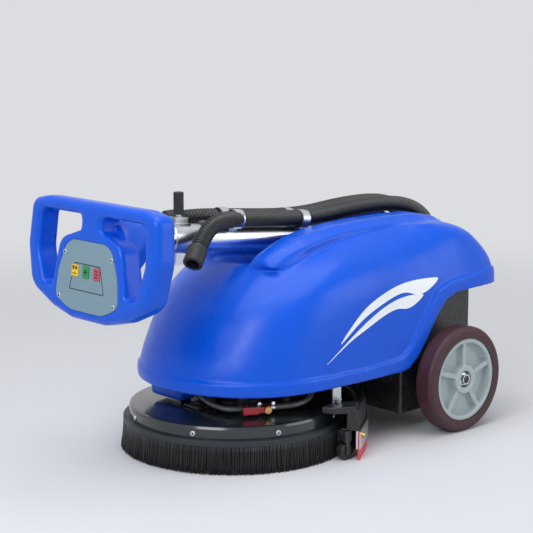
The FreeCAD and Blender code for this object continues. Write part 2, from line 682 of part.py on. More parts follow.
def grip_opening(side):
    """The finger opening between a grip bar, the top bar and the pod."""
    corners = ((145, 40), (28, 40), (28, 15), (86, -4), (104, -88), (126, -86), (149, -28))
    radii = (14, 10, 9, 28, 9, 10, 60)
    points = [V(HEAD_X - HEAD_DEPTH / 2, side * y, z) for y, z in corners]
    tool = Part.Face(rounded_outline(points, radii)).extrude(V(HEAD_DEPTH, 0, 0))
    return tool


def pod_outline(x, grow):
    """The control pod's outline."""
    corners = ((68, 5), (91, -50), (96, -113), (54, -131))
    radii = (34, 60, 18, 60)
    right = [V(x, y + grow, z + grow * (1 if z > -60 else -1)) for y, z in corners]
    left = [V(x, -p.y, p.z) for p in reversed(right)]
    return rounded_outline(right + left, radii + radii[::-1])


def circle_outline(x, radius, z):
    """A circle standing across the tube."""
    return Part.Wire(Part.makeCircle(radius, V(x, 0, z), X_AXIS))


def head_pieces():
    """Handle head, panel, buttons, screws and the collar behind the pod."""
    plate = Part.Face(head_outline(HEAD_X - HEAD_DEPTH / 2, 0)).extrude(V(HEAD_DEPTH, 0, 0))
    plate = plate.makeFillet(HEAD_ROUND, [e for e in plate.Edges if e.BoundBox.XLength < 1])
    for side in SIDES.values():
        plate = plate.cut(grip_opening(side))
    rims = [e for e in plate.Edges if e.BoundBox.XLength < 1 and abs(e.CenterOfMass.y) < 152
            and abs(e.CenterOfMass.y) > 20 and -95 < e.CenterOfMass.z < 46]
    plate = plate.makeFillet(HEAD_ROUND - 4, rims)

    pod = Part.Face(pod_outline(POD_FRONT_X, 0)).extrude(V(HEAD_DEPTH, 0, 0))
    pod = pod.makeFillet(9, [e for e in pod.Edges if e.BoundBox.XMax < POD_FRONT_X + 1])
    rear_z = (-52.0, -30.0, -8.0)
    neck = Part.makeLoft([circle_outline(POD_FRONT_X + 30, 82, rear_z[0]),
                          circle_outline(-704, 68, rear_z[1]),
                          circle_outline(NECK_END_X, NECK_R, rear_z[2])], True, False)
    head = fused([plate, pod, neck])
    for side in SIDES.values():
        groove = grip_opening(side)
        head = head.cut(groove.common(box(-800, HEAD_X + 4, -200, 200, -5, 80)))

    pocket = Part.Face(pod_outline(PANEL_FACE_X, -8)).extrude(V(PANEL_T + 1, 0, 0))
    cavity = Part.Face(pod_outline(PANEL_FACE_X, -20)).extrude(V(PANEL_T + 26, 0, 0))
    socket = rod(V(-TUBE_LENGTH, 0, 0), X_AXIS, TUBE_R, TUBE_LENGTH)
    head = head.cut(pocket).cut(cavity).cut(socket)

    panel_x = PANEL_FACE_X
    panel = Part.Face(pod_outline(panel_x, -8 - GAP)).extrude(V(PANEL_T, 0, 0))
    panel = panel.makeFillet(1.0, [e for e in panel.Edges if e.BoundBox.XMax < panel_x + 0.5])
    head_holes = []
    screws = []
    for y, z in PANEL_SCREWS:
        for side in SIDES.values():
            spot = V(panel_x, side * y, z)
            screws.append(rounded(rod(spot - X_AXIS * 1.6, X_AXIS, PANEL_SCREW_R, 1.6), 1.0,
                                  lambda e: e.BoundBox.XMax < panel_x - 1).fuse(
                rod(spot, X_AXIS, SCREW_SHANK_R, PANEL_T + 9)))
            head_holes.append(rod(spot, X_AXIS, SCREW_SHANK_R, PANEL_T + 9))
    buttons = []
    width, height = BUTTON
    for i in (1, 0, -1):
        y = i * BUTTON_PITCH + 3
        cap = box(panel_x - BUTTON_PROUD, panel_x + PANEL_T + 1, y - width / 2, y + width / 2,
                  BUTTON_Z - height / 2, BUTTON_Z + height / 2)
        hole = box(panel_x - 5, panel_x + PANEL_T + 5, y - width / 2 - GAP,
                   y + width / 2 + GAP, BUTTON_Z - height / 2 - GAP, BUTTON_Z + height / 2 + GAP)
        panel = panel.cut(hole)
        buttons.append(rounded(cap, 1.0, lambda e: e.BoundBox.XMax < panel_x
                               or e.BoundBox.XLength > 3))
    for hole in head_holes:
        head = head.cut(hole)
        panel = panel.cut(hole)
    collar = ring(V(NECK_END_X, 0, 0), X_AXIS, COLLAR_R, TUBE_R, COLLAR_W)
    collar = rounded(collar, 3, lambda e: e.Length > COLLAR_R * 6 and e.BoundBox.XLength < 1)
    pieces = [head, panel, Part.makeCompound(screws), collar] + buttons
    return [on_handle(piece) for piece in pieces]


def lever_pieces():
    """Lift lever with its grip, the bracket it stands in and its pin."""
    pivot = V(LEVER_X, 0, LEVER_PIVOT_Z)
    cheeks = []
    for side in SIDES.values():
        y0 = side * (LEVER_R + GAP + 1.5) - 1.5
        cheeks.append(box(LEVER_X - 14, LEVER_X + 14, y0, y0 + 3, 20, LEVER_PIVOT_Z + 5))
    base = box(LEVER_X - 18, LEVER_X + 18, -12, 12, 20, SLEEVE_R + 2)
    bracket = fused(cheeks + [base]).cut(rod(V(-650, 0, 0), X_AXIS, SLEEVE_R, 200))
    pin_start = pivot - Y_AXIS * (LEVER_R + GAP + 4)
    bracket = bracket.cut(rod(pin_start, Y_AXIS, LEVER_PIN_R, 2 * (LEVER_R + GAP + 4)))
    pin = rod(pin_start, Y_AXIS, LEVER_PIN_R, 2 * (LEVER_R + GAP + 4))
    lever = fused([rod(pivot - Y_AXIS * LEVER_R, Y_AXIS, LEVER_R, 2 * LEVER_R),
                   rod(pivot, Z_AXIS, LEVER_R, GRIP_LENGTH)])
    lever = lever.cut(rod(pin_start, Y_AXIS, LEVER_PIN_R + SHAFT_FIT, 40))
    grip_foot = pivot + Z_AXIS * (LEVER_R + 5)
    grip = rod(grip_foot, Z_AXIS, GRIP_R, GRIP_LENGTH - 3)
    grip = rounded(grip, 2, lambda e: e.BoundBox.ZLength < 1)
    grip = grip.cut(rod(pivot, Z_AXIS, LEVER_R, GRIP_LENGTH))
    for piece in (lever, grip):
        piece.rotate(pivot, Y_AXIS, -TUBE_TILT)
    bracket = Part.makeCompound([bracket, pin])
    return [on_handle(piece) for piece in (bracket, lever, grip)]


def clip_pieces():
    """Hose clips on the tube."""
    straps = []
    strap_in = HOSE_R + GAP
    strap_out = strap_in + CLIP_T
    for x in CLIP_XS:
        start = x - CLIP_W / 2
        parts = []
        for side in SIDES.values():
            middle = V(start, side * HOSE_Y, HOSE_RISE)
            parts.append(rod(middle, X_AXIS, strap_out, CLIP_W))
            y0 = side * 8 - 4
            parts.append(box(start, start + CLIP_W, y0, y0 + 8, 18, HOSE_RISE))
        parts.append(box(start, start + CLIP_W, -8, 8, HOSE_RISE, HOSE_RISE + 4))
        strap = fused(parts)
        for side in SIDES.values():
            strap = strap.cut(rod(V(start, side * HOSE_Y, HOSE_RISE), X_AXIS, strap_in, CLIP_W))
        strap = strap.cut(rod(V(start, 0, 0), X_AXIS, TUBE_R, CLIP_W))
        straps.append(strap)
    return on_handle(Part.makeCompound(straps))


def cuff(points):
    """A smooth cuff over the free end of a drain hose."""
    along = (points[1] - points[0]).normalize()
    start = points[0] - along * 8
    shell = rounded(rod(start, along, CUFF_R, CUFF_LENGTH), 1.5, lambda e: e.Length > 100)
    shell = shell.cut(rod(start, along, HOSE_R - 3, 9)).cut(
        rod(points[0], along, HOSE_R + 0.3, CUFF_LENGTH))
    return shell


# ---- Brush deck ------------------------------------------------------------------------
def deck_pieces():
    """Cap, skirt, screws, motor, gearbox, standoffs, front bracket, and the brush."""
    centre = V(DECK_X, 0, 0)
    low, lip = CAP_Z
    top = lip + CAP_CROWN
    hub_hole = SHAFT_R + 3
    cap = revolved([(CAP_R, low), (CAP_R, lip - 5), (CAP_R - 2, lip - 1), (CAP_R - 6, lip),
                    (CAP_R - 24, lip + 1), (CAP_R - 70, top), (hub_hole, top),
                    (hub_hole, top - CAP_WALL), (CAP_R - 70, top - CAP_WALL),
                    (CAP_R - CAP_WALL, lip - CAP_WALL), (CAP_R - CAP_WALL, low)], centre)
    band = revolved([(CAP_R - CAP_WALL, BAND_Z[0]), (BAND_R, BAND_Z[0]), (BAND_R, BAND_Z[1] - 2),
                     (BAND_R - 2, low), (CAP_R - CAP_WALL, low)], centre)
    skirt_in = SKIRT_R - SKIRT_T
    skirt = revolved([(skirt_in, 0), (SKIRT_R, 0), (BAND_R - 0.5, BAND_Z[0]),
                      (BAND_R - SKIRT_T, BAND_Z[0])], centre)
    screws = []
    for i in range(DECK_SCREWS):
        angle = DECK_SCREW_ANGLE + i * 360 / DECK_SCREWS
        seat = about_deck(angle, CAP_R - 0.1, DECK_SCREW_Z)
        inward = (V(DECK_X, 0, DECK_SCREW_Z) - seat).normalize()
        shank = rod(seat, inward, SCREW_SHANK_R, CAP_WALL + 4)
        head = rounded(rod(seat, inward * -1, DECK_SCREW_R, 2.6), 1.6,
                       lambda e, s=seat: (e.CenterOfMass - s).Length > 2)
        screws.append(head.fuse(shank))
        cap = cap.cut(rod(seat + inward * -2, inward, SCREW_SHANK_R, CAP_WALL + 8))
        cap = cap.cut(rod(seat, inward * -1, DECK_SCREW_R, 4))

    gearbox = fused([rod(V(DECK_X, 0, top), Z_AXIS, GEARBOX_R, MOTOR_Z[0] - top),
                     ring(V(DECK_X, 0, top), Z_AXIS, GEARBOX_R + 12, GEARBOX_R - 4, 6)])
    motor = rod(V(DECK_X, 0, MOTOR_Z[0]), Z_AXIS, MOTOR_R, MOTOR_Z[1] - MOTOR_Z[0])
    motor = rounded(motor, 6, lambda e: e.BoundBox.ZMin > MOTOR_Z[1] - 1)
    shaft_top = top + 20
    gearbox = gearbox.cut(rod(V(DECK_X, 0, top), Z_AXIS, SHAFT_R + SHAFT_FIT, shaft_top - top + GAP))
    block_low, block_top = BRUSH_BLOCK_Z
    hub = fused([rod(V(DECK_X, 0, block_top), Z_AXIS, SHAFT_R, shaft_top - block_top),
                 rod(V(DECK_X, 0, block_top), Z_AXIS, 44, 8)])
    block = ring(V(DECK_X, 0, block_low), Z_AXIS, BRUSH_R, 20, block_top - block_low)
    block = rounded(block, 3, lambda e: e.Length > 900)
    tufts = ring(V(DECK_X, 0, 0), Z_AXIS, BRUSH_R - 4, BRUSH_HOLE_R, block_low)

    mounts = []
    for sx in (-1, 1):
        for sy in (-1, 1):
            spot = V(DECK_X + sx * STANDOFF_AT[0], sy * STANDOFF_AT[1], lip)
            post = rod(spot, Z_AXIS, STANDOFF_R, RAIL_BOTTOM - lip)
            mounts.append(max(post.cut(cap).Solids, key=lambda s: s.Volume))
    front, back = BRACKET_X
    right, left = BRACKET_Y
    hook = SOLUTION_Z[0] - GAP
    plate = top + 2
    bracket = fused([box(front, back, right, left, plate, plate + 3),
                     box(back - 5, back, right, left, plate, hook),
                     box(back - 5, RAIL_END, right, left, hook - 6, hook),
                     box(front + 4, back - 8, right + 4, left - 4, lip - 1, plate)])
    bracket = bracket.cut(cap)
    mounts.append(max(bracket.Solids, key=lambda s: s.Volume))
    mounts.append(rod(V(front + 18, -10, plate + 3), Z_AXIS, 6, 3))
    return (cap, band, skirt, Part.makeCompound(screws), gearbox.fuse(motor), block.fuse(hub),
            tufts, Part.makeCompound(mounts))


# ---- Squeegee --------------------------------------------------------------------------
def squeegee_pieces():
    """Housing, blades, straps, nuts, hangers and the suction pipe."""
    inner, outer = SQ_HOUSING_R
    low, high = SQ_HOUSING_Z
    crown = bow_wall(outer, inner, low, high, SQ_TAIL)
    crown = rounded(crown, 7, lambda e: e.BoundBox.ZMin > high - 1 and e.Length > 200)
    lip = bow_wall(outer + 4, SQ_FRONT_R - SQ_BLADE_T, low - 3, low, SQ_TAIL)
    solids = [crown, lip]
    for side in SIDES.values():
        tab = prism([V(-333, side * 193, high - 6), V(-282, side * 176, high - 6),
                     V(-258, side * 208, high - 6), V(-292, side * 232, high - 6),
                     V(-322, side * 214, high - 6)], V(0, 0, 12))
        solids.append(tab)
    housing = fused(solids)

    foot, strap_top = SQ_STRAP_Z
    rear_in = SQ_REAR_R - SQ_BLADE_T
    blades = [bow_wall(SQ_REAR_R, rear_in, 0, low - 3, SQ_TAIL),
              bow_wall(SQ_FRONT_R, SQ_FRONT_R - SQ_BLADE_T, 0, low - 3, SQ_FRONT_TAIL)]
    straps = [bow_wall(SQ_REAR_R + SQ_STRAP_T, SQ_REAR_R, foot, strap_top, SQ_TAIL),
              bow_wall(rear_in, rear_in - 3, foot, low - 3, SQ_TAIL),
              bow_wall(SQ_FRONT_R + 3, SQ_FRONT_R, foot, low - 3, SQ_FRONT_TAIL)]
    nuts = []
    for run in SQ_NUT_RUNS:
        seat = on_bow(run, SQ_REAR_R + SQ_STRAP_T, SQ_NUT_Z)
        outward = on_bow(run, SQ_REAR_R + SQ_STRAP_T + 1, SQ_NUT_Z) - seat
        seat = seat - outward * 0.1
        nuts.append(fused([rod(seat, outward, 5.5, 2.5), rod(seat, outward, 3.5, 5.5)]))

    hangers = []
    for side in SIDES.values():
        out = V(0, side, 0)
        y0 = side * (HANGER_Y + HANGER_T / 2) - HANGER_T / 2
        strip = box(HANGER_X - HANGER_W / 2, HANGER_X + HANGER_W / 2, y0, y0 + HANGER_T,
                    high + 6, HANGER_TOP)
        eye = V(HANGER_X, side * (HANGER_Y + HANGER_T - 1), high + 12)
        hangers.append(fused([strip, rod(eye, out, 6, 5), rod(eye, out, 3.5, 9)]))

    low_end = about_deck(SUCTION_ANGLE, (inner + outer) / 2, high - 1)
    pipe = ring(low_end, Z_AXIS, SUCTION_R, SUCTION_R - 3, TANK_Z[0] + 8 - high)
    nuts = Part.makeCompound(nuts)
    return (housing, Part.makeCompound(blades), Part.makeCompound(straps).cut(nuts),
            nuts, Part.makeCompound(hangers), pipe.cut(housing))


def caster_pieces(side):
    """Support wheel under one end of the squeegee, and its fork."""
    out = V(0, side, 0)
    x, y = CASTER_AT
    bore = 3.0
    start = V(x, side * (y - CASTER_W / 2), CASTER_R)
    wheel = rounded(rod(start, out, CASTER_R, CASTER_W), 3, lambda e: e.BoundBox.YLength < 1)
    wheel = wheel.cut(rod(start, out, bore + SHAFT_FIT, CASTER_W))
    cheek = 2.0
    top = SQ_HOUSING_Z[0] - 3
    parts = [rod(start - out * (GAP + cheek), out, bore, CASTER_W + 2 * (GAP + cheek))]
    for offset in (-GAP - cheek, CASTER_W + GAP):
        foot = start + out * offset
        low_y = min(foot.y, foot.y + side * cheek)
        parts.append(box(x - 5, x + 5, low_y, low_y + cheek, CASTER_R - 5, top))
    low_y = min(start.y - side * (GAP + cheek), start.y + side * (CASTER_W + GAP + cheek))
    parts.append(box(x - 8, x + 8, low_y, low_y + CASTER_W + 2 * (GAP + cheek),
                     2 * CASTER_R + 3, top))
    return wheel, fused(parts)


# ---- Feed hose valve -------------------------------------------------------------------
def valve_pieces():
    """Ball valve, its lever and stem bolt, the hose clamps, and the two feed hoses."""
    along = V(math.cos(math.radians(VALVE_YAW)), math.sin(math.radians(VALVE_YAW)), 0)
    outward = V(along.y, -along.x, 0)
    start = VALVE_AT - along * (VALVE_LENGTH / 2)
    body = fused([rod(start, along, BARB_R, VALVE_LENGTH),
                  rod(VALVE_AT - along * VALVE_R, along, VALVE_R, 2 * VALVE_R),
                  rod(VALVE_AT, outward, 6, VALVE_R + 3)])
    body = body.cut(rod(start, along, BARB_R - 1.2, VALVE_LENGTH))
    stem_foot = VALVE_AT + outward * (VALVE_R + 3)
    body = body.fuse(rod(stem_foot, outward, STEM_R, 9)).removeSplitter()
    lever_foot = stem_foot + outward * GAP
    arm = fused([box(-VALVE_LEVER + 4, 0, -1.5, 1.5, -5, 5), rod(V(0, -1.5, 0), Y_AXIS, 7, 3),
                 box(-VALVE_LEVER, -16, -3.5, 3.5, -6.5, 6.5)])
    arm.rotate(V(0, 0, 0), Z_AXIS, VALVE_YAW)
    arm.translate(lever_foot + outward * 3.6)
    arm = arm.cut(rod(stem_foot, outward, STEM_R + SHAFT_FIT, 12))
    body = body.fuse(rod(stem_foot + outward * 7, outward, 6, 3)).removeSplitter()
    clamps = []
    for offset in (-VALVE_R - 1 - CLAMP_W, VALVE_R + 1):
        foot = VALVE_AT + along * offset
        band = ring(foot, along, FEED_R + 2, FEED_R, CLAMP_W)
        screw = rod(foot + along * CLAMP_W / 2 + Z_AXIS * (FEED_R + 4) - outward * 6, outward, 3, 13)
        clamps.append(band.fuse(screw))
    pushed_on = []
    for name, route in (("feed_hose_sump", FEED_HOSE_SUMP), ("feed_hose_deck", FEED_HOSE_DECK)):
        tube = hose(name, route, FEED_R)
        tube = tube.cut(rod(start, along, BARB_R, VALVE_LENGTH))
        tube = tube.cut(rod(VALVE_AT - along * VALVE_R, along, VALVE_R, 2 * VALVE_R))
        pushed_on.append(max(tube.Solids, key=lambda solid: solid.Volume))
    bands = Part.makeCompound(clamps).cut(Part.makeCompound(pushed_on))
    return body, arm, bands, pushed_on[0], pushed_on[1]


# ---- Build -----------------------------------------------------------------------------
os.makedirs("parts", exist_ok=True)

axles = []
nuts = []
forks = []
for side_name, side_sign in SIDES.items():
    tyre, core, bearings, axle, nut = wheel_pieces(side_sign)
    save("tyre_" + side_name, tyre)
    save("wheel_core_" + side_name, core)
    save("wheel_bearings_" + side_name, bearings)
    axles.append(axle)
    nuts.append(nut)
    caster, fork = caster_pieces(side_sign)
    save("caster_" + side_name, caster)
    forks.append(fork)
save("stub_axles", Part.makeCompound(axles))
save("axle_nuts", Part.makeCompound(nuts))
save("caster_forks", Part.makeCompound(forks))

for name, shape in zip(("chassis_box", "battery_cover", "front_subframe", "batteries",
                        "battery_terminals"), chassis_pieces()):
    save(name, shape)
near_hose = hose("drain_hose_near", NEAR_HOSE, HOSE_R)
far_hose = hose("drain_hose_far", FAR_HOSE, HOSE_R)
both_hoses = Part.makeCompound([near_hose, far_hose])
hood, stripes = hood_pieces()
recovery, solution, vacuum, motor_box, ports = under_hood_pieces()
hood = hood.cut(ports).cut(both_hoses)
save("tank_hood", hood)
save("side_stripes", stripes)
save("recovery_tank", recovery.cut(hood))
save("solution_tank", solution)
save("vacuum_motor", vacuum)
save("controller", motor_box)
save("drain_ports", ports.cut(both_hoses))
save("pivot_bracket", pivot_pieces())
for name, shape in zip(("handle_tube", "tube_sleeve", "lift_cable"), tube_pieces()):
    save(name, shape)
for name, shape in zip(("handle_head", "control_panel", "panel_screws", "neck_collar",
                        "button_yellow", "button_green", "button_red"), head_pieces()):
    save(name, shape)
for name, shape in zip(("lever_bracket", "lift_lever", "lever_grip"), lever_pieces()):
    save(name, shape)
save("hose_clips", clip_pieces().cut(both_hoses))
save("drain_hose_near", near_hose)
save("drain_hose_far", far_hose)
save("drain_cuffs", Part.makeCompound([cuff(NEAR_HOSE), cuff(FAR_HOSE)]))
for name, shape in zip(("deck_cap", "skirt_band", "skirt_bristles", "deck_screws", "brush_motor",
                        "brush_block", "brush_bristles", "deck_mounts"), deck_pieces()):
    save(name, shape)
for name, shape in zip(("squeegee_housing", "squeegee_blades", "blade_straps", "thumb_nuts",
                        "squeegee_hangers", "suction_pipe"), squeegee_pieces()):
    save(name, shape)
for name, shape in zip(("ball_valve", "valve_lever", "hose_clamps", "feed_hose_sump",
                        "feed_hose_deck"), valve_pieces()):
    save(name, shape)
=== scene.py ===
"""Looks of a walk-behind floor scrubber: finishes, moulded skins, hoses and bristles.

Everything is in metres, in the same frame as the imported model.
"""

import json
import logging
import math
import random
from dataclasses import dataclass, field
from enum import Enum
from typing import Any, Sequence

import bpy
from mathutils import Matrix, Vector


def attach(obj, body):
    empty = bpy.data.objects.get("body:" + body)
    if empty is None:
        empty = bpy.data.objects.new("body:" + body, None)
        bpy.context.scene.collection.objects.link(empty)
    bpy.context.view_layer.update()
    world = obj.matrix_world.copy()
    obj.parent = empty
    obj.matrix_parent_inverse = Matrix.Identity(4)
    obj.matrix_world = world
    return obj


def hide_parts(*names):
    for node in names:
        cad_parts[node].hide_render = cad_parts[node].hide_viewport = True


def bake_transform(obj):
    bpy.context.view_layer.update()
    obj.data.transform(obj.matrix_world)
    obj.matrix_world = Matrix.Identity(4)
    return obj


LOG = logging.getLogger("scrubber")
MM = 0.001
AXLE_X = 0.270          # the wheel axle is this far behind the origin
PIVOT = Vector((AXLE_X + 0.066, 0.0, 0.3385))
TUBE_TILT = math.radians(5.4)
DECK_X = AXLE_X - 0.3683
SIDES = {"left": -1, "right": 1}


# ---- Small helpers ---------------------------------------------------------------------
def linear(hex_colour: str) -> tuple[float, float, float, float]:
    """Turns an sRGB hex colour into linear light.

    Args:
        hex_colour: Six hex digits after a hash sign.

    Returns:
        Red, green, blue and alpha in linear light.
    """
    values = [int(hex_colour[i:i + 2], 16) / 255 for i in (1, 3, 5)]
    light = [v / 12.92 if v <= 0.04045 else ((v + 0.055) / 1.055) ** 2.4 for v in values]
    return (light[0], light[1], light[2], 1.0)


def from_axle(x: float, y: float, z: float) -> Vector:
    """Gives a place in the model's frame from millimetres measured at the wheel axle."""
    return Vector((x * MM + AXLE_X, y * MM, z * MM))


def on_handle(x: float, y: float, z: float) -> Vector:
    """Gives a place in the model's frame from millimetres in the handle's own frame."""
    turn = Matrix.Rotation(TUBE_TILT, 3, "Y")
    return PIVOT + turn @ Vector((x * MM, y * MM, z * MM))


def add_node(tree: bpy.types.NodeTree, kind: str, settings: dict[str, Any] | None = None,
             links: dict[str, bpy.types.NodeSocket] | None = None) -> bpy.types.Node:
    """Adds one shader node.

    Args:
        tree: The node tree that gets it.
        kind: The node's type name.
        settings: Values of its properties, or of its inputs by name.
        links: Sockets to join to its inputs, by input name.

    Returns:
        The new node.
    """
    node = tree.nodes.new(kind)
    for name, value in (settings or {}).items():
        if name in node.inputs:
            node.inputs[name].default_value = value
        else:
            setattr(node, name, value)
    for name, socket in (links or {}).items():
        tree.links.new(socket, node.inputs[name])
    return node


# ---- Finishes --------------------------------------------------------------------------
class Relief(Enum):
    """How a surface's fine relief was left by the way it was made."""

    SMOOTH = "smooth"
    ORANGE_PEEL = "orange peel"
    STIPPLE = "stipple"
    BRUSHED = "brushed"
    STREAKS = "streaks"


@dataclass(frozen=True)
class Finish:
    """One real material and the way its surface was made."""

    name: str
    colour: str
    roughness: float
    metallic: float = 0.0
    ior: float = 1.5
    coat: float = 0.0
    coat_roughness: float = 0.05
    specular: float = 0.5
    relief: Relief = Relief.SMOOTH
    relief_mm: float = 1.0
    depth_mm: float = 0.05
    variation: float = 0.06
    wear: float = 0.0
    wear_colour: str = "#9a9a9a"
    transmission: float = 0.0

    def material(self) -> bpy.types.Material:
        """Builds the finish once and gives the same material every time.

        Returns:
            The Blender material.
        """
        if self.name in bpy.data.materials:
            return bpy.data.materials[self.name]
        made = bpy.data.materials.new(self.name)
        made.use_nodes = True
        tree = made.node_tree
        tree.nodes.clear()
        place = add_node(tree, "ShaderNodeTexCoord").outputs["Object"]
        base = self._colour(tree, place)
        shader = add_node(tree, "ShaderNodeBsdfPrincipled", {
            "Metallic": self.metallic, "Coat Weight": self.coat,
            "Coat Roughness": self.coat_roughness, "Specular IOR Level": self.specular,
            "Transmission Weight": self.transmission,
        }, {"Base Color": base, "Roughness": self._roughness(tree, place)})
        if self.metallic == 0.0:
            shader.inputs["IOR"].default_value = self.ior
        relief = self._relief(tree, place)
        if relief is not None:
            tree.links.new(relief, shader.inputs["Normal"])
        add_node(tree, "ShaderNodeOutputMaterial", links={"Surface": shader.outputs["BSDF"]})
        return made

    def _colour(self, tree: bpy.types.NodeTree,
                place: bpy.types.NodeSocket) -> bpy.types.NodeSocket:
        """Colour with slow, faint changes, and wear on raised edges.

        Args:
            tree: The material's tree.
            place: Object coordinates.

        Returns:
            The colour socket.
        """
        cloud = add_node(tree, "ShaderNodeTexNoise", {"Scale": 14.0, "Detail": 4.0},
                         {"Vector": place})
        level = add_node(tree, "ShaderNodeMapRange", {
            "From Min": 0.3, "From Max": 0.7, "To Min": 1 - self.variation,
            "To Max": 1 + self.variation}, {"Value": cloud.outputs["Fac"]})
        tint = add_node(tree, "ShaderNodeHueSaturation", {"Color": linear(self.colour)},
                        {"Value": level.outputs["Result"]})
        if self.wear == 0.0:
            return tint.outputs["Color"]
        edge = add_node(tree, "ShaderNodeNewGeometry").outputs["Pointiness"]
        scuff = add_node(tree, "ShaderNodeTexNoise", {"Scale": 160.0, "Detail": 6.0},
                         {"Vector": place})
        both = add_node(tree, "ShaderNodeMath", {"operation": "MULTIPLY"},
                        {"Value": edge}).outputs["Value"]
        tree.links.new(scuff.outputs["Fac"], both.node.inputs[1])
        mask = add_node(tree, "ShaderNodeMapRange", {
            "From Min": 0.29, "From Max": 0.36, "To Min": 0.0, "To Max": self.wear},
            {"Value": both})
        mix = add_node(tree, "ShaderNodeMix", {"data_type": "RGBA"})
        tree.links.new(mask.outputs["Result"], mix.inputs[0])
        tree.links.new(tint.outputs["Color"], mix.inputs[6])
        mix.inputs[7].default_value = linear(self.wear_colour)
        return mix.outputs[2]

    def _roughness(self, tree: bpy.types.NodeTree,
                   place: bpy.types.NodeSocket) -> bpy.types.NodeSocket:
        """Roughness that handling and dust change a little from place to place."""
        haze = add_node(tree, "ShaderNodeTexNoise", {"Scale": 35.0, "Detail": 5.0},
                        {"Vector": place})
        spread = add_node(tree, "ShaderNodeMapRange", {
            "From Min": 0.3, "From Max": 0.7, "To Min": self.roughness * 0.85,
            "To Max": min(1.0, self.roughness * 1.18)}, {"Value": haze.outputs["Fac"]})
        return spread.outputs["Result"]

    def _relief(self, tree: bpy.types.NodeTree,
                place: bpy.types.NodeSocket) -> bpy.types.NodeSocket | None:
        """Fine relief as a bump.

        Args:
            tree: The material's tree.
            place: Object coordinates.

        Returns:
            The normal socket, or None on a polished surface.
        """
        if self.relief is Relief.SMOOTH:
            return None
        scale = 1.0 / (self.relief_mm * MM)
        stretch = {Relief.BRUSHED: (0.04, 1.0, 1.0), Relief.STREAKS: (1.0, 1.0, 0.03)}
        scaled = add_node(tree, "ShaderNodeMapping",
                          {"Scale": stretch.get(self.relief, (1.0, 1.0, 1.0))},
                          {"Vector": place}).outputs["Vector"]
        if self.relief is Relief.STIPPLE:
            grain = add_node(tree, "ShaderNodeTexVoronoi", {"Scale": scale}, {"Vector": scaled})
            height = grain.outputs["Distance"]
        else:
            grain = add_node(tree, "ShaderNodeTexNoise", {"Scale": scale, "Detail": 2.0},
                             {"Vector": scaled})
            height = grain.outputs["Fac"]
        bump = add_node(tree, "ShaderNodeBump", {"Strength": 0.6,
                                                 "Distance": self.depth_mm * MM},
                        {"Height": height})
        return bump.outputs["Normal"]


# Rotomoulded polyethylene: deep blue, a soft sheen and a faint orange peel.
HOOD_BLUE = Finish("polyethylene_rotomoulded_blue", "#0054d4", 0.30, ior=1.51, specular=0.3,
                   relief=Relief.ORANGE_PEEL, relief_mm=6.0, depth_mm=0.10,
                   variation=0.03)
# Cut vinyl film: flat and bright, a little smoother than the skin it lies on.
STRIPE_FILM = Finish("vinyl_film_white", "#f1f5f8", 0.30, variation=0.01)
# Cast polyurethane: dull maroon, rubbed smooth where it rolls.
TYRE_PU = Finish("polyurethane_cast_maroon", "#3d2027", 0.50, ior=1.48,
                 relief=Relief.ORANGE_PEEL, relief_mm=2.5, depth_mm=0.08, variation=0.10)
# Glass-filled nylon: pale grey-green with a fine spark-eroded texture.
RIM_NYLON = Finish("nylon_moulded_grey", "#a9b5b6", 0.46, relief=Relief.STIPPLE,
                   relief_mm=0.9, depth_mm=0.04)
# Powder coat over steel: black with a slight pebble, rubbed on its corners.
POWDER_BLACK = Finish("steel_powder_coated_black", "#141518", 0.42, coat=0.2,
                      coat_roughness=0.3, relief=Relief.ORANGE_PEEL, relief_mm=1.2,
                      depth_mm=0.05, wear=0.25, wear_colour="#5a5c60")
# Glossy ABS: near black, mirror-like with soft waves from moulding.
DECK_ABS = Finish("abs_moulded_gloss_black", "#1d2327", 0.20, coat=0.5, coat_roughness=0.08,
                  relief=Relief.ORANGE_PEEL, relief_mm=9.0, depth_mm=0.06, variation=0.04)
BAND_VINYL = Finish("vinyl_extruded_black", "#20292f", 0.48, relief=Relief.ORANGE_PEEL,
                    relief_mm=1.5, depth_mm=0.04)
# Zinc plate on steel: cool, cloudy and soft.
ZINC = Finish("steel_zinc_plated", "#c8cdd1", 0.33, metallic=1.0, relief=Relief.STIPPLE,
              relief_mm=1.4, depth_mm=0.02, variation=0.10)
CHROME = Finish("steel_chrome_plated", "#e4e8eb", 0.14, metallic=1.0, variation=0.02)
# Satin stainless tube: fine lines that run along it.
TUBE_STEEL = Finish("stainless_brushed", "#e6ecf1", 0.24, metallic=1.0, relief=Relief.BRUSHED,
                    relief_mm=0.5, depth_mm=0.012, variation=0.03)
RUBBER_BLACK = Finish("rubber_moulded_black", "#17181a", 0.55, ior=1.52,
                      relief=Relief.STIPPLE, relief_mm=0.8, depth_mm=0.03)
HOSE_PE = Finish("polyethylene_corrugated_black", "#1b1d1f", 0.38, coat=0.15,
                 coat_roughness=0.2, variation=0.12)
RUBBER_RED = Finish("linatex_rubber_red", "#c8404d", 0.50, relief=Relief.ORANGE_PEEL,
                    relief_mm=1.2, depth_mm=0.03, variation=0.08)
LEVER_VINYL = Finish("vinyl_dipped_red", "#b51f2e", 0.32, coat=0.3, relief=Relief.ORANGE_PEEL,
                     relief_mm=3.0, depth_mm=0.06)
BRASS = Finish("brass_machined", "#c9a765", 0.28, metallic=1.0, relief=Relief.STIPPLE,
               relief_mm=0.6, depth_mm=0.015, variation=0.08)
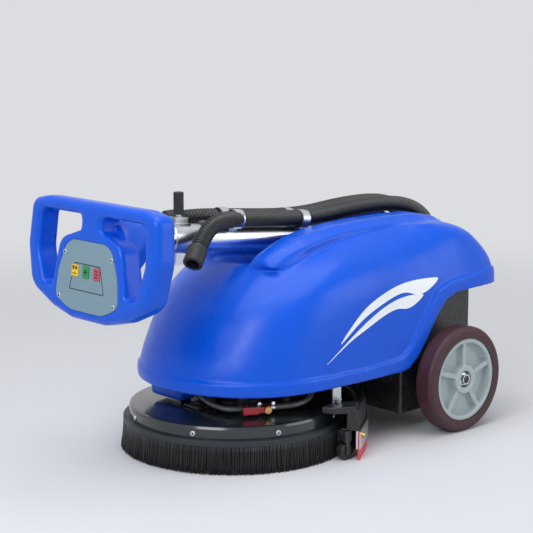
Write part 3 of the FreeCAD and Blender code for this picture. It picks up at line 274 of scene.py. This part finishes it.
# Printed polyester film on the panel: grey-blue, eggshell.
PANEL_FILM = Finish("polyester_film_grey_blue", "#7793a2", 0.40, relief=Relief.STIPPLE,
                    relief_mm=0.5, depth_mm=0.015, variation=0.02)
# Dark printed ink for the panel's line and button symbols; the same dark is also painted shade
# inside the screws' cross recesses.
PRINT_INK_AND_RECESS_SHADE = Finish("ink_printed_dark_and_recess_shade", "#15191c", 0.5, variation=0.02)
BUTTON_YELLOW = Finish("silicone_button_yellow", "#e9c21c", 0.38, variation=0.02)
BUTTON_GREEN = Finish("silicone_button_green", "#12904a", 0.38, variation=0.02)
BUTTON_RED = Finish("silicone_button_red", "#bd4a55", 0.38, variation=0.02)
# Crimped nylon filament: black with long streaks.
BRISTLE = Finish("nylon_filament_black", "#1a1a1d", 0.45, relief=Relief.STREAKS, relief_mm=0.7,
                 depth_mm=0.10, variation=0.25)
NATURAL_PE = Finish("polyethylene_natural", "#cfd4d0", 0.42, relief=Relief.ORANGE_PEEL,
                    relief_mm=5.0, depth_mm=0.08)
CASE_PP = Finish("polypropylene_moulded_black", "#1d1f22", 0.48, relief=Relief.STIPPLE,
                 relief_mm=1.0, depth_mm=0.04)
# Smoked PVC tube: grey, wet-looking, a little light through it.
FEED_PVC = Finish("pvc_extruded_smoke", "#6d7173", 0.22, coat=0.3, transmission=0.25,
                  variation=0.05)
GRIP_RUBBER = Finish("rubber_grip_black", "#1c1e20", 0.60, relief=Relief.STIPPLE,
                     relief_mm=1.2, depth_mm=0.08)

NODE_FINISH: dict[str, Finish] = {
    "tyre_left": TYRE_PU, "tyre_right": TYRE_PU, "wheel_core_left": RIM_NYLON,
    "wheel_core_right": RIM_NYLON, "wheel_bearings_left": POWDER_BLACK,
    "wheel_bearings_right": POWDER_BLACK, "stub_axles": POWDER_BLACK, "axle_nuts": CHROME,
    "caster_left": RUBBER_BLACK, "caster_right": RUBBER_BLACK, "caster_forks": POWDER_BLACK,
    "chassis_box": POWDER_BLACK, "battery_cover": POWDER_BLACK,
    "front_subframe": POWDER_BLACK, "batteries": CASE_PP, "battery_terminals": BRASS,
    "tank_hood": HOOD_BLUE, "side_stripes": STRIPE_FILM, "recovery_tank": NATURAL_PE,
    "solution_tank": HOOD_BLUE, "vacuum_motor": CASE_PP, "controller": CASE_PP,
    "drain_ports": RUBBER_BLACK, "pivot_bracket": ZINC, "handle_tube": TUBE_STEEL,
    "tube_sleeve": ZINC, "lift_cable": FEED_PVC, "handle_head": HOOD_BLUE,
    "control_panel": PANEL_FILM, "panel_screws": ZINC, "neck_collar": RUBBER_BLACK,
    "button_yellow": BUTTON_YELLOW, "button_green": BUTTON_GREEN, "button_red": BUTTON_RED,
    "lever_bracket": ZINC, "lift_lever": ZINC, "lever_grip": GRIP_RUBBER,
    "hose_clips": ZINC, "drain_hose_near": HOSE_PE, "drain_hose_far": HOSE_PE,
    "drain_cuffs": RUBBER_BLACK, "deck_cap": DECK_ABS, "skirt_band": BAND_VINYL,
    "skirt_bristles": BRISTLE, "deck_screws": ZINC, "brush_motor": POWDER_BLACK,
    "brush_block": CASE_PP, "brush_bristles": BRISTLE, "deck_mounts": POWDER_BLACK,
    "squeegee_housing": POWDER_BLACK, "squeegee_blades": RUBBER_RED, "blade_straps": ZINC,
    "thumb_nuts": BRASS, "squeegee_hangers": ZINC, "suction_pipe": CASE_PP,
    "ball_valve": BRASS, "valve_lever": LEVER_VINYL, "hose_clamps": CHROME,
    "feed_hose_sump": FEED_PVC, "feed_hose_deck": FEED_PVC,
}


# ---- Mesh building ---------------------------------------------------------------------
def mesh_piece(name: str, verts: Sequence[Sequence[float]], faces: Sequence[Sequence[int]],
               finish: Finish, smooth: bool = True) -> bpy.types.Object:
    """Makes one mesh object with a finish.

    Args:
        name: The piece's name.
        verts: Its points, in metres.
        faces: Its faces, as point numbers.
        finish: Its finish.
        smooth: Whether its faces shade smoothly.

    Returns:
        The new object, linked to the scene.
    """
    mesh = bpy.data.meshes.new(name)
    mesh.from_pydata([tuple(v) for v in verts], [], [tuple(f) for f in faces])
    mesh.validate()
    mesh.materials.append(finish.material())
    if smooth:
        mesh.polygons.foreach_set("use_smooth", [True] * len(mesh.polygons))
    piece = bpy.data.objects.new(name, mesh)
    bpy.context.scene.collection.objects.link(piece)
    return piece


def ring_faces(rings: int, sides: int, closed: bool = False) -> list[tuple[int, ...]]:
    """Faces between rings of points.

    Args:
        rings: How many rings.
        sides: Points in each ring.
        closed: Whether the last ring joins the first.

    Returns:
        The faces.
    """
    faces = []
    for i in range(rings if closed else rings - 1):
        j = (i + 1) % rings
        for k in range(sides):
            m = (k + 1) % sides
            faces.append((i * sides + k, i * sides + m, j * sides + m, j * sides + k))
    return faces


def frames_along(points: Sequence[Vector]) -> list[tuple[Vector, Vector, Vector]]:
    """Two steady cross directions and the heading at each point of a line.

    Args:
        points: The line's points.

    Returns:
        For each point: first cross direction, second cross direction and heading.
    """
    headings = []
    for i in range(len(points)):
        low = points[max(i - 1, 0)]
        high = points[min(i + 1, len(points) - 1)]
        headings.append((high - low).normalized())
    side = headings[0].orthogonal().normalized()
    frames = []
    for heading in headings:
        side = (side - heading * side.dot(heading)).normalized()
        frames.append((side, heading.cross(side), heading))
    return frames


def tube_mesh(name: str, points: Sequence[Vector], radii: Sequence[float], finish: Finish,
              sides: int = 28, bore: float = 0.0) -> bpy.types.Object:
    """A round skin along a line, with its own radius at each point.

    Args:
        name: The piece's name.
        points: The line's points.
        radii: The outer radius at each point.
        finish: Its finish.
        sides: Points round it.
        bore: Radius of the open hole through it, or 0 for closed ends.

    Returns:
        The piece.
    """
    verts: list[Vector] = []
    frames = frames_along(points)
    layers = [list(radii)]
    if bore > 0:
        layers.append([bore] * len(points))
    faces: list[tuple[int, ...]] = []
    for layer, sizes in enumerate(layers):
        start = len(verts)
        for point, size, (u, v, _) in zip(points, sizes, frames):
            for k in range(sides):
                turn = 2 * math.pi * k / sides
                verts.append(point + (u * math.cos(turn) + v * math.sin(turn)) * size)
        skin = ring_faces(len(points), sides)
        faces += [tuple(start + i for i in (f if layer == 0 else f[::-1])) for f in skin]
    last = (len(points) - 1) * sides
    if bore > 0:
        inner = len(points) * sides
        for k in range(sides):
            m = (k + 1) % sides
            faces.append((m, k, inner + k, inner + m))
            faces.append((last + k, last + m, inner + last + m, inner + last + k))
    else:
        faces.append(tuple(reversed(range(sides))))
        faces.append(tuple(last + k for k in range(sides)))
    return mesh_piece(name, verts, faces, finish)


def bake_modifiers(piece: bpy.types.Object) -> None:
    """Turns a piece's modifiers into its own mesh."""
    depsgraph = bpy.context.evaluated_depsgraph_get()
    final = bpy.data.meshes.new_from_object(piece.evaluated_get(depsgraph))
    piece.modifiers.clear()
    piece.data = final


def relax_ridge(piece: bpy.types.Object, passes: int = 70) -> None:
    """Rounds the front end of the hood's ridge more than the rest of the hood.

    Args:
        piece: The hood's skin.
        passes: How often that place is relaxed.
    """
    group = piece.vertex_groups.new(name="ridge_front")
    for vertex in piece.data.vertices:
        ahead = min(1.0, max(0.0, (-0.02 - vertex.co.x) / 0.05))
        above = min(1.0, max(0.0, (vertex.co.z - 0.300) / 0.03))
        if ahead * above > 0.0:
            group.add([vertex.index], ahead * above, "REPLACE")
    relax = piece.modifiers.new("ridge", "SMOOTH")
    relax.factor = 0.8
    relax.iterations = passes
    relax.vertex_group = group.name
    bake_modifiers(piece)


def softened(node: str, name: str, voxel_mm: float, passes: int,
             finish: Finish) -> bpy.types.Object:
    """A moulded skin in the place of a CAD node, with its edges rounded.

    The node's own form is remeshed evenly and then relaxed, so that each sharp edge
    becomes the soft radius that moulding leaves.

    Args:
        node: The CAD node.
        name: The new piece's name.
        voxel_mm: Size of the even mesh.
        passes: How often it is relaxed.
        finish: Its finish.

    Returns:
        The new piece, riding on the node's body.
    """
    source = FRAME["nodes"][node]
    mesh = source.data.copy()
    mesh.name = name
    piece = bpy.data.objects.new(name, mesh)
    bpy.context.scene.collection.objects.link(piece)
    weld = piece.modifiers.new("weld", "WELD")
    weld.merge_threshold = 0.02 * MM
    remesh = piece.modifiers.new("even", "REMESH")
    remesh.mode = "VOXEL"
    remesh.voxel_size = voxel_mm * MM
    relax = piece.modifiers.new("relax", "SMOOTH")
    relax.factor = 0.5
    relax.iterations = passes
    bake_modifiers(piece)
    if node == "tank_hood":
        relax_ridge(piece)
    final = piece.data
    final.materials.clear()
    final.materials.append(finish.material())
    final.polygons.foreach_set("use_smooth", [True] * len(final.polygons))
    final.polygons.foreach_set("material_index", [0] * len(final.polygons))
    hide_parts(node)
    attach(piece, BODY_OF[node])
    LOG.info("%s: %d faces", name, len(final.polygons))
    return piece


def spline_points(name: str, points: Sequence[Vector], steps: int) -> list[Vector]:
    """Points read from a smooth spline through a hose's route.

    Args:
        name: Name of the throwaway curve.
        points: The route's control points.
        steps: Steps between control points.

    Returns:
        Points along the spline.
    """
    curve = bpy.data.curves.new(name + "_line", "CURVE")
    curve.dimensions = "3D"
    spline = curve.splines.new("NURBS")
    spline.points.add(len(points) - 1)
    for target, point in zip(spline.points, points):
        target.co = (*point, 1.0)
    spline.order_u = 3
    spline.use_endpoint_u = True
    spline.resolution_u = steps
    carrier = bpy.data.objects.new(name + "_line", curve)
    bpy.context.scene.collection.objects.link(carrier)
    depsgraph = bpy.context.evaluated_depsgraph_get()
    line = bpy.data.meshes.new_from_object(carrier.evaluated_get(depsgraph))
    found = [v.co.copy() for v in line.vertices]
    bpy.data.objects.remove(carrier)
    bpy.data.meshes.remove(line)
    return found


def resampled(points: Sequence[Vector], spacing: float) -> list[Vector]:
    """The same line at even steps.

    Args:
        points: Points of the line.
        spacing: Wanted step.

    Returns:
        Evenly spaced points, both ends kept.
    """
    lengths = [0.0]
    for a, b in zip(points, points[1:]):
        lengths.append(lengths[-1] + (b - a).length)
    count = max(2, round(lengths[-1] / spacing))
    result = []
    i = 0
    for step in range(count + 1):
        target = lengths[-1] * step / count
        while i < len(points) - 2 and lengths[i + 1] < target:
            i += 1
        share = (target - lengths[i]) / max(lengths[i + 1] - lengths[i], 1e-9)
        result.append(points[i].lerp(points[i + 1], share))
    return result


def line_length(points: Sequence[Vector]) -> float:
    """Length of a line through points."""
    return sum((b - a).length for a, b in zip(points, points[1:]))


# ---- Hoses -----------------------------------------------------------------------------
@dataclass
class DrainHose:
    """One corrugated drain hose, clipped along the handle tube."""

    name: str
    node: str
    route: tuple[Vector, ...]
    radius: float = 15 * MM
    pitch: float = 5.0 * MM
    groove: float = 2.2 * MM
    bore: float = 11.4 * MM

    def build(self) -> bpy.types.Object:
        """Returns:
            The hose.
        """
        line = spline_points(self.name, self.route, 14)
        length = line_length(line)
        ribs = round(length / self.pitch)
        profile = (0.0, 0.06, 0.5, 0.94, 1.0, 1.0, 0.94, 0.5, 0.06, 0.0)
        spots = resampled(line, length / (ribs * len(profile)))
        radii = [self.radius - self.groove * (1 - profile[i % len(profile)])
                 for i in range(len(spots))]
        piece = tube_mesh(self.name, spots, radii, HOSE_PE, sides=32, bore=self.bore)
        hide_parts(self.node)
        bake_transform(piece)
        return piece


NEAR_ROUTE = tuple(from_axle(*p) for p in (
    (-516, -65, 363), (-481, -46, 399), (-434, -34, 421.5), (-372, -20, 417), (-200, -20, 401),
    (-70, -21, 413), (35, -24, 411), (98, -28, 388), (126, -30, 345), (128, -30, 296)))
FAR_ROUTE = tuple(from_axle(*p) for p in (
    (-488, 36, 420), (-440, 30, 422), (-372, 20, 417), (-200, 20, 401), (-70, 21, 413),
    (35, 24, 411), (98, 28, 388), (126, 30, 345), (128, 30, 296)))
SUMP_ROUTE = tuple(from_axle(*p) for p in (
    (-452, 15.5, 106), (-460, -15, 104), (-467, -50, 99), (-464, -86, 96), (-443.7, -102.9, 96),
    (-404, -124, 96)))
DECK_ROUTE = tuple(from_axle(*p) for p in (
    (-404, -124, 96), (-373, -140.5, 96), (-341, -149, 97), (-308, -142, 103), (-292, -122, 122),
    (-290, -104, 146)))


@dataclass
class FeedHose:
    """One thin water hose on the deck, held at both ends."""

    name: str
    node: str
    route: tuple[Vector, ...]
    radius: float = 5 * MM

    def build(self) -> bpy.types.Object:
        """Returns:
            The hose.
        """
        line = spline_points(self.name, self.route, 14)
        spots = resampled(line, 3 * MM)
        piece = tube_mesh(self.name, spots, [self.radius] * len(spots), FEED_PVC, sides=20)
        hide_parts(self.node)
        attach(piece, "chassis")
        return piece


# ---- Bristles --------------------------------------------------------------------------
@dataclass
class BristleSkirt:
    """The hanging bristle skirt round the brush deck."""

    rows: int = 4
    per_row: int = 560
    top: float = 49 * MM
    inner: float = 196.5 * MM
    outer: float = 202.4 * MM
    flare: float = 5.6 * MM
    width: float = 1.45 * MM
    seed: int = 11

    def build(self) -> bpy.types.Object:
        """Builds every bunch as a bent, tapering strip with a square section.

        Returns:
            The skirt, riding on the chassis.
        """
        chance = random.Random(self.seed)
        verts: list[Vector] = []
        faces: list[tuple[int, ...]] = []
        levels = 5
        for row in range(self.rows):
            foot = self.inner + (self.outer - self.inner) * row / (self.rows - 1)
            for i in range(self.per_row):
                turn = 2 * math.pi * (i + chance.uniform(0.0, 0.8)) / self.per_row
                lean = chance.uniform(-1.6, 1.6) * MM / foot
                reach = chance.uniform(0.45, 1.0) * self.flare
                end = chance.uniform(0.0, 1.8) * MM if chance.random() < 0.8 else 3.4 * MM
                thick = self.width * chance.uniform(0.7, 1.15)
                start = len(verts)
                for level in range(levels):
                    share = level / (levels - 1)
                    z = self.top + (end - self.top) * share
                    radius = foot + reach * share ** 1.6
                    angle = turn + lean * share ** 2
                    size = thick * (1 - 0.35 * share)
                    for u, v in ((-1, -1), (1, -1), (1, 1), (-1, 1)):
                        a = angle + u * size / 2 / radius
                        r = radius + v * size / 2
                        verts.append(Vector((DECK_X + r * math.cos(a), r * math.sin(a), z)))
                faces += [tuple(start + n for n in f) for f in ring_faces(levels, 4)]
                faces.append((start + 3, start + 2, start + 1, start))
                tip = start + 4 * (levels - 1)
                faces.append((tip, tip + 1, tip + 2, tip + 3))
        piece = mesh_piece("skirt_bunches", verts, faces, BRISTLE)
        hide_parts("skirt_bristles")
        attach(piece, "chassis")
        return piece


# ---- Control panel ---------------------------------------------------------------------
@dataclass
class ControlPanel:
    """Printed line and button symbols of the control panel."""

    face_x: float = -757.0
    line: float = 0.8
    button_z: float = -55.0
    pitch: float = 30.0

    def outline(self, count: int = 12) -> list[Vector]:
        """The printed line's rounded path at the panel's face.

        Args:
            count: Steps round each corner.

        Returns:
            Points of the closed path.
        """
        right = ((50.0, -23.0, 20.0), (68.0, -103.0, 17.0))
        whole = list(right) + [(-y, z, r) for y, z, r in reversed(right)]
        points = []
        for i, (y, z, radius) in enumerate(whole):
            here = Vector((y, z))
            back = (Vector(whole[i - 1][:2]) - here).normalized()
            ahead = (Vector(whole[(i + 1) % len(whole)][:2]) - here).normalized()
            half = back.angle(ahead) / 2
            centre = here + (back + ahead).normalized() * (radius / math.sin(half))
            start = here + back * (radius / math.tan(half)) - centre
            stop = here + ahead * (radius / math.tan(half)) - centre
            for k in range(count + 1):
                spot = centre + start.slerp(stop, k / count)
                points.append(on_handle(self.face_x, spot.x, spot.y))
        return points

    def build(self) -> None:
        """Builds the printed line and the symbols on the buttons."""
        loop = self.outline()
        ahead = on_handle(-1, 0, 0) - on_handle(0, 0, 0)
        size = self.line * MM
        verts = []
        for i, point in enumerate(loop):
            along = (loop[(i + 1) % len(loop)] - loop[i - 1]).normalized()
            side = along.cross(ahead).normalized()
            for s, f in ((-1, 0.0), (-1, 0.25), (1, 0.25), (1, 0.0)):
                verts.append(point + side * size * s + ahead * (f - 0.1))
        piece = mesh_piece("panel_line", verts, ring_faces(len(loop), 4, closed=True),
                           PRINT_INK_AND_RECESS_SHADE, smooth=False)
        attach(piece, "handle")
        marks = {"button_yellow": ((-4, 5, 5, 6), (4, 5, 5, 6), (0, -5, 10, 1.6)),
                 "button_green": ((0, 0, 2.4, 11), (0, 0, 11, 2.4)),
                 "button_red": ((0, 5, 9, 2), (0, 0, 9, 2), (0, -5, 9, 2))}
        for index, (name, bars) in zip((1, 0, -1), marks.items()):
            verts = []
            faces = []
            for y, z, w, h in bars:
                start = len(verts)
                for f in (0.0, 0.25):
                    for a, b in ((-1, -1), (1, -1), (1, 1), (-1, 1)):
                        verts.append(on_handle(self.face_x - 1.5 - f,
                                               index * self.pitch + 3 + y + a * w / 2,
                                               self.button_z + z + b * h / 2))
                faces += [tuple(start + n for n in f) for f in ring_faces(2, 4)]
                faces.append((start + 4, start + 5, start + 6, start + 7))
                faces.append((start + 3, start + 2, start + 1, start))
            mark = mesh_piece(name + "_mark", verts, faces, PRINT_INK_AND_RECESS_SHADE, smooth=False)
            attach(mark, name)


# ---- Small fittings --------------------------------------------------------------------
@dataclass
class ScrewRecessShades:
    """Dark crosses of painted shade that stand for the cross recesses in the round screw heads.
    """

    size: float = 2.6
    arm: float = 0.8
    deck_count: int = 8
    deck_angle: float = 27.0
    panel_spots: tuple[tuple[float, float], ...] = ((65.0, -27.0), (76.0, -103.0))

    def cross(self, name: str, centre: Vector, out: Vector, body: str) -> bpy.types.Object:
        """Builds one dark cross of painted shade for one recess.

        Args:
            name: The piece's name.
            centre: Middle of the head's face.
            out: The way the head faces.
            body: The body it moves with.

        Returns:
            The dark cross.
        """
        side = out.cross(Vector((0, 0, 1))).normalized()
        up = side.cross(out)
        a, b = self.arm * MM, self.size * MM
        plan = ((-a, b), (a, b), (a, a), (b, a), (b, -a), (a, -a), (a, -b), (-a, -b), (-a, -a),
                (-b, -a), (-b, a), (-a, a))
        verts = []
        for height in (-0.3 * MM, 0.06 * MM):
            verts += [centre + side * x + up * y + out * height for x, y in plan]
        faces = ring_faces(2, len(plan)) + [tuple(range(12, 24)), tuple(reversed(range(12)))]
        # A flat dark slab, coloured with the dark ink, is painted shade where the recess would be
        # a hole.
        piece = mesh_piece(name, verts, faces, PRINT_INK_AND_RECESS_SHADE, smooth=False)
        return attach(piece, body)

    def build(self) -> None:
        """Builds the painted shade of the recesses of the deck's and the panel's screws."""
        for i in range(self.deck_count):
            turn = math.radians(self.deck_angle + i * 360 / self.deck_count)
            out = Vector((math.cos(turn), math.sin(turn), 0))
            centre = Vector((DECK_X, 0, 0.067)) + out * 0.1945
            self.cross(f"deck_screw_recess_shade_{i}", centre, out, "chassis")
        out = (on_handle(-1, 0, 0) - on_handle(0, 0, 0)).normalized()
        for i, (y, z) in enumerate(self.panel_spots):
            for side_name, side in SIDES.items():
                centre = on_handle(-758.6, side * y, z)
                self.cross(f"panel_screw_recess_{i}_{side_name}", centre, out, "handle")


@dataclass
class ClipLiners:
    """Rubber liners that stand out of both sides of the hose clips."""

    places: tuple[float, ...] = (-453.0, -292.0)
    offset_y: float = 20.0
    rise: float = 36.5
    inner: float = 15.05
    outer: float = 16.6
    width: float = 23.0

    def build(self) -> None:
        """Builds one liner round each hose at each clip."""
        for i, x in enumerate(self.places):
            for side_name, side in SIDES.items():
                line = [on_handle(x + self.width * (k / 8 - 0.5), side * self.offset_y, self.rise)
                        for k in range(9)]
                radii = [(self.outer - (0.5 if k in (0, 8) else 0.0)) * MM for k in range(9)]
                piece = tube_mesh(f"clip_liner_{i}_{side_name}", line, radii, RUBBER_BLACK,
                                  sides=40, bore=self.inner * MM)
                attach(piece, "handle")


# ---- Stage -----------------------------------------------------------------------------
@dataclass
class Studio:
    """Floor, backdrop, lamps and camera."""

    floor_colour: str = "#d6d7da"
    back_colour: str = "#dcdde0"
    eye: tuple[float, float, float] = (-1.9507, -2.1230, 0.8190)
    azimuth: float = 42.3
    pitch: float = 9.9
    lens: float = 107.1

    def build(self) -> None:
        """Builds the whole stage."""
        self._floor()
        self._lamps()
        self._camera()
        settings = bpy.context.scene.view_settings
        settings.view_transform = "Standard"

    def _floor(self) -> None:
        """A pale flat floor whose far part fades into the backdrop's even colour."""
        material = bpy.data.materials.new("studio_floor")
        material.use_nodes = True
        tree = material.node_tree
        tree.nodes.clear()
        place = add_node(tree, "ShaderNodeTexCoord").outputs["Object"]
        cloud = add_node(tree, "ShaderNodeTexNoise", {"Scale": 3.0, "Detail": 3.0},
                         {"Vector": place})
        level = add_node(tree, "ShaderNodeMapRange", {"To Min": 0.985, "To Max": 1.015},
                         {"Value": cloud.outputs["Fac"]})
        tint = add_node(tree, "ShaderNodeHueSaturation", {"Color": linear(self.floor_colour)},
                        {"Value": level.outputs["Result"]})
        shader = add_node(tree, "ShaderNodeBsdfPrincipled", {"Roughness": 0.75},
                          {"Base Color": tint.outputs["Color"]})
        far = add_node(tree, "ShaderNodeEmission", {"Color": linear(self.back_colour)})
        away = add_node(tree, "ShaderNodeVectorMath", {"operation": "LENGTH"}, {"Vector": place})
        share = add_node(tree, "ShaderNodeMapRange", {
            "From Min": 0.75, "From Max": 2.6, "interpolation_type": "SMOOTHSTEP"},
            {"Value": away.outputs["Value"]})
        both = add_node(tree, "ShaderNodeMixShader")
        tree.links.new(share.outputs["Result"], both.inputs[0])
        tree.links.new(shader.outputs["BSDF"], both.inputs[1])
        tree.links.new(far.outputs["Emission"], both.inputs[2])
        add_node(tree, "ShaderNodeOutputMaterial", links={"Surface": both.outputs["Shader"]})
        size = 14.0
        verts = [(-size, -size, 0), (size, -size, 0), (size, size, 0), (-size, size, 0)]
        mesh = bpy.data.meshes.new("floor")
        mesh.from_pydata(verts, [], [(0, 1, 2, 3)])
        mesh.materials.append(material)
        floor = bpy.data.objects.new("floor", mesh)
        bpy.context.scene.collection.objects.link(floor)

    def _lamp(self, name: str, place: Sequence[float], aim: Sequence[float], size: float,
              power: float) -> None:
        """One soft square lamp.

        Args:
            name: Its name.
            place: Where it stands.
            aim: The point it faces.
            size: Its side.
            power: Its power in watts.
        """
        data = bpy.data.lights.new(name, "AREA")
        data.shape = "SQUARE"
        data.size = size
        data.energy = power
        lamp = bpy.data.objects.new(name, data)
        lamp.location = place
        lamp.rotation_euler = (Vector(aim) - Vector(place)).to_track_quat("-Z", "Y").to_euler()
        bpy.context.scene.collection.objects.link(lamp)

    def _lamps(self) -> None:
        """A big top light, a key from the front left and a weak fill."""
        aim = (0.0, 0.0, 0.2)
        self._lamp("top_light", (-0.2, -0.2, 2.6), aim, 2.4, 42)
        self._lamp("key_light", (-2.4, -0.9, 1.9), aim, 1.4, 34)
        self._lamp("fill_light", (1.6, -2.4, 1.1), aim, 1.6, 16)
        world = bpy.data.worlds.new("studio")
        world.use_nodes = True
        tree = world.node_tree
        tree.nodes.clear()
        light = add_node(tree, "ShaderNodeBackground", {"Color": linear("#dfe2e8"),
                                                        "Strength": 0.55})
        seen = add_node(tree, "ShaderNodeBackground", {"Color": linear(self.back_colour),
                                                       "Strength": 1.0})
        path = add_node(tree, "ShaderNodeLightPath")
        direct = add_node(tree, "ShaderNodeMath", {"operation": "MAXIMUM"})
        tree.links.new(path.outputs["Is Camera Ray"], direct.inputs[0])
        tree.links.new(path.outputs["Is Glossy Ray"], direct.inputs[1])
        both = add_node(tree, "ShaderNodeMath", {"operation": "MAXIMUM"})
        tree.links.new(direct.outputs["Value"], both.inputs[0])
        tree.links.new(path.outputs["Is Transmission Ray"], both.inputs[1])
        mix = add_node(tree, "ShaderNodeMixShader")
        tree.links.new(both.outputs["Value"], mix.inputs[0])
        tree.links.new(light.outputs["Background"], mix.inputs[1])
        tree.links.new(seen.outputs["Background"], mix.inputs[2])
        add_node(tree, "ShaderNodeOutputWorld", links={"Surface": mix.outputs["Shader"]})
        bpy.context.scene.world = world

    def _camera(self) -> None:
        """The camera that frames the machine from its front left."""
        data = bpy.data.cameras.new("camera")
        data.lens = self.lens
        data.sensor_width = 36.0
        data.clip_end = 100.0
        camera = bpy.data.objects.new("camera", data)
        turn = math.radians(self.azimuth)
        dip = math.radians(self.pitch)
        heading = Vector((math.sin(turn) * math.cos(dip), math.cos(turn) * math.cos(dip),
                          -math.sin(dip)))
        camera.location = self.eye
        camera.rotation_euler = heading.to_track_quat("-Z", "Y").to_euler()
        bpy.context.scene.collection.objects.link(camera)
        bpy.context.scene.camera = camera


# ---- The whole machine -----------------------------------------------------------------
@dataclass
class Skins:
    """Moulded pieces whose edges are softened, with the even mesh size and the passes."""

    table: dict[str, tuple[str, float, int]] = field(default_factory=lambda: {
        "tank_hood": ("hood_skin", 2.5, 6),
        "handle_head": ("handle_head_skin", 1.8, 6),
        "solution_tank": ("sump_skin", 2.2, 4),
        "wheel_core_left": ("wheel_core_left_moulded", 1.1, 3),
        "wheel_core_right": ("wheel_core_right_moulded", 1.1, 3),
        "squeegee_housing": ("squeegee_housing_cast", 1.3, 3),
    })

    def build(self) -> None:
        """Builds each softened piece."""
        for node, (name, voxel, passes) in self.table.items():
            piece = softened(node, name, voxel, passes, NODE_FINISH[node])


def dress_nodes() -> None:
    """Gives every CAD node the finish of its real material."""
    for name, node in FRAME["nodes"].items():
        material = NODE_FINISH[name].material()
        node.data.materials.clear()
        node.data.materials.append(material)


def main() -> None:
    """Builds the machine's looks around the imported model."""
    logging.basicConfig(level=logging.INFO, format="%(name)s: %(message)s")
    Studio().build()
    dress_nodes()
    builders: list[Any] = [
        DrainHose("drain_hose_near_skin", "drain_hose_near", NEAR_ROUTE),
        DrainHose("drain_hose_far_skin", "drain_hose_far", FAR_ROUTE, pitch=7.0 * MM,
                  groove=2.8 * MM),
        FeedHose("feed_hose_sump_skin", "feed_hose_sump", SUMP_ROUTE),
        FeedHose("feed_hose_deck_skin", "feed_hose_deck", DECK_ROUTE),
        Skins(), BristleSkirt(), ControlPanel(), ScrewRecessShades(), ClipLiners(),
    ]
    for builder in builders:
        builder.build()
        LOG.info("built %s", type(builder).__name__)


with open("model.json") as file:
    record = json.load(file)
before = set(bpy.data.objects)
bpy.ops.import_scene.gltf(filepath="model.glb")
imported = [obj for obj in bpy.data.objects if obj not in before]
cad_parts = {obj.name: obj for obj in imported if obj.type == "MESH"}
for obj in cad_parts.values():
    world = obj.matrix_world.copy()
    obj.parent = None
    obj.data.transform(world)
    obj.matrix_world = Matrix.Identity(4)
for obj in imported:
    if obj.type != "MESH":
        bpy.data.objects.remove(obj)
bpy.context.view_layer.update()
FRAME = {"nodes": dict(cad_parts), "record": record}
BODY_OF = {node: body for body, nodes in FRAME["record"]["behaviour"]["bodies"].items()
           for node in nodes}

if __name__ == "__main__":
    main()
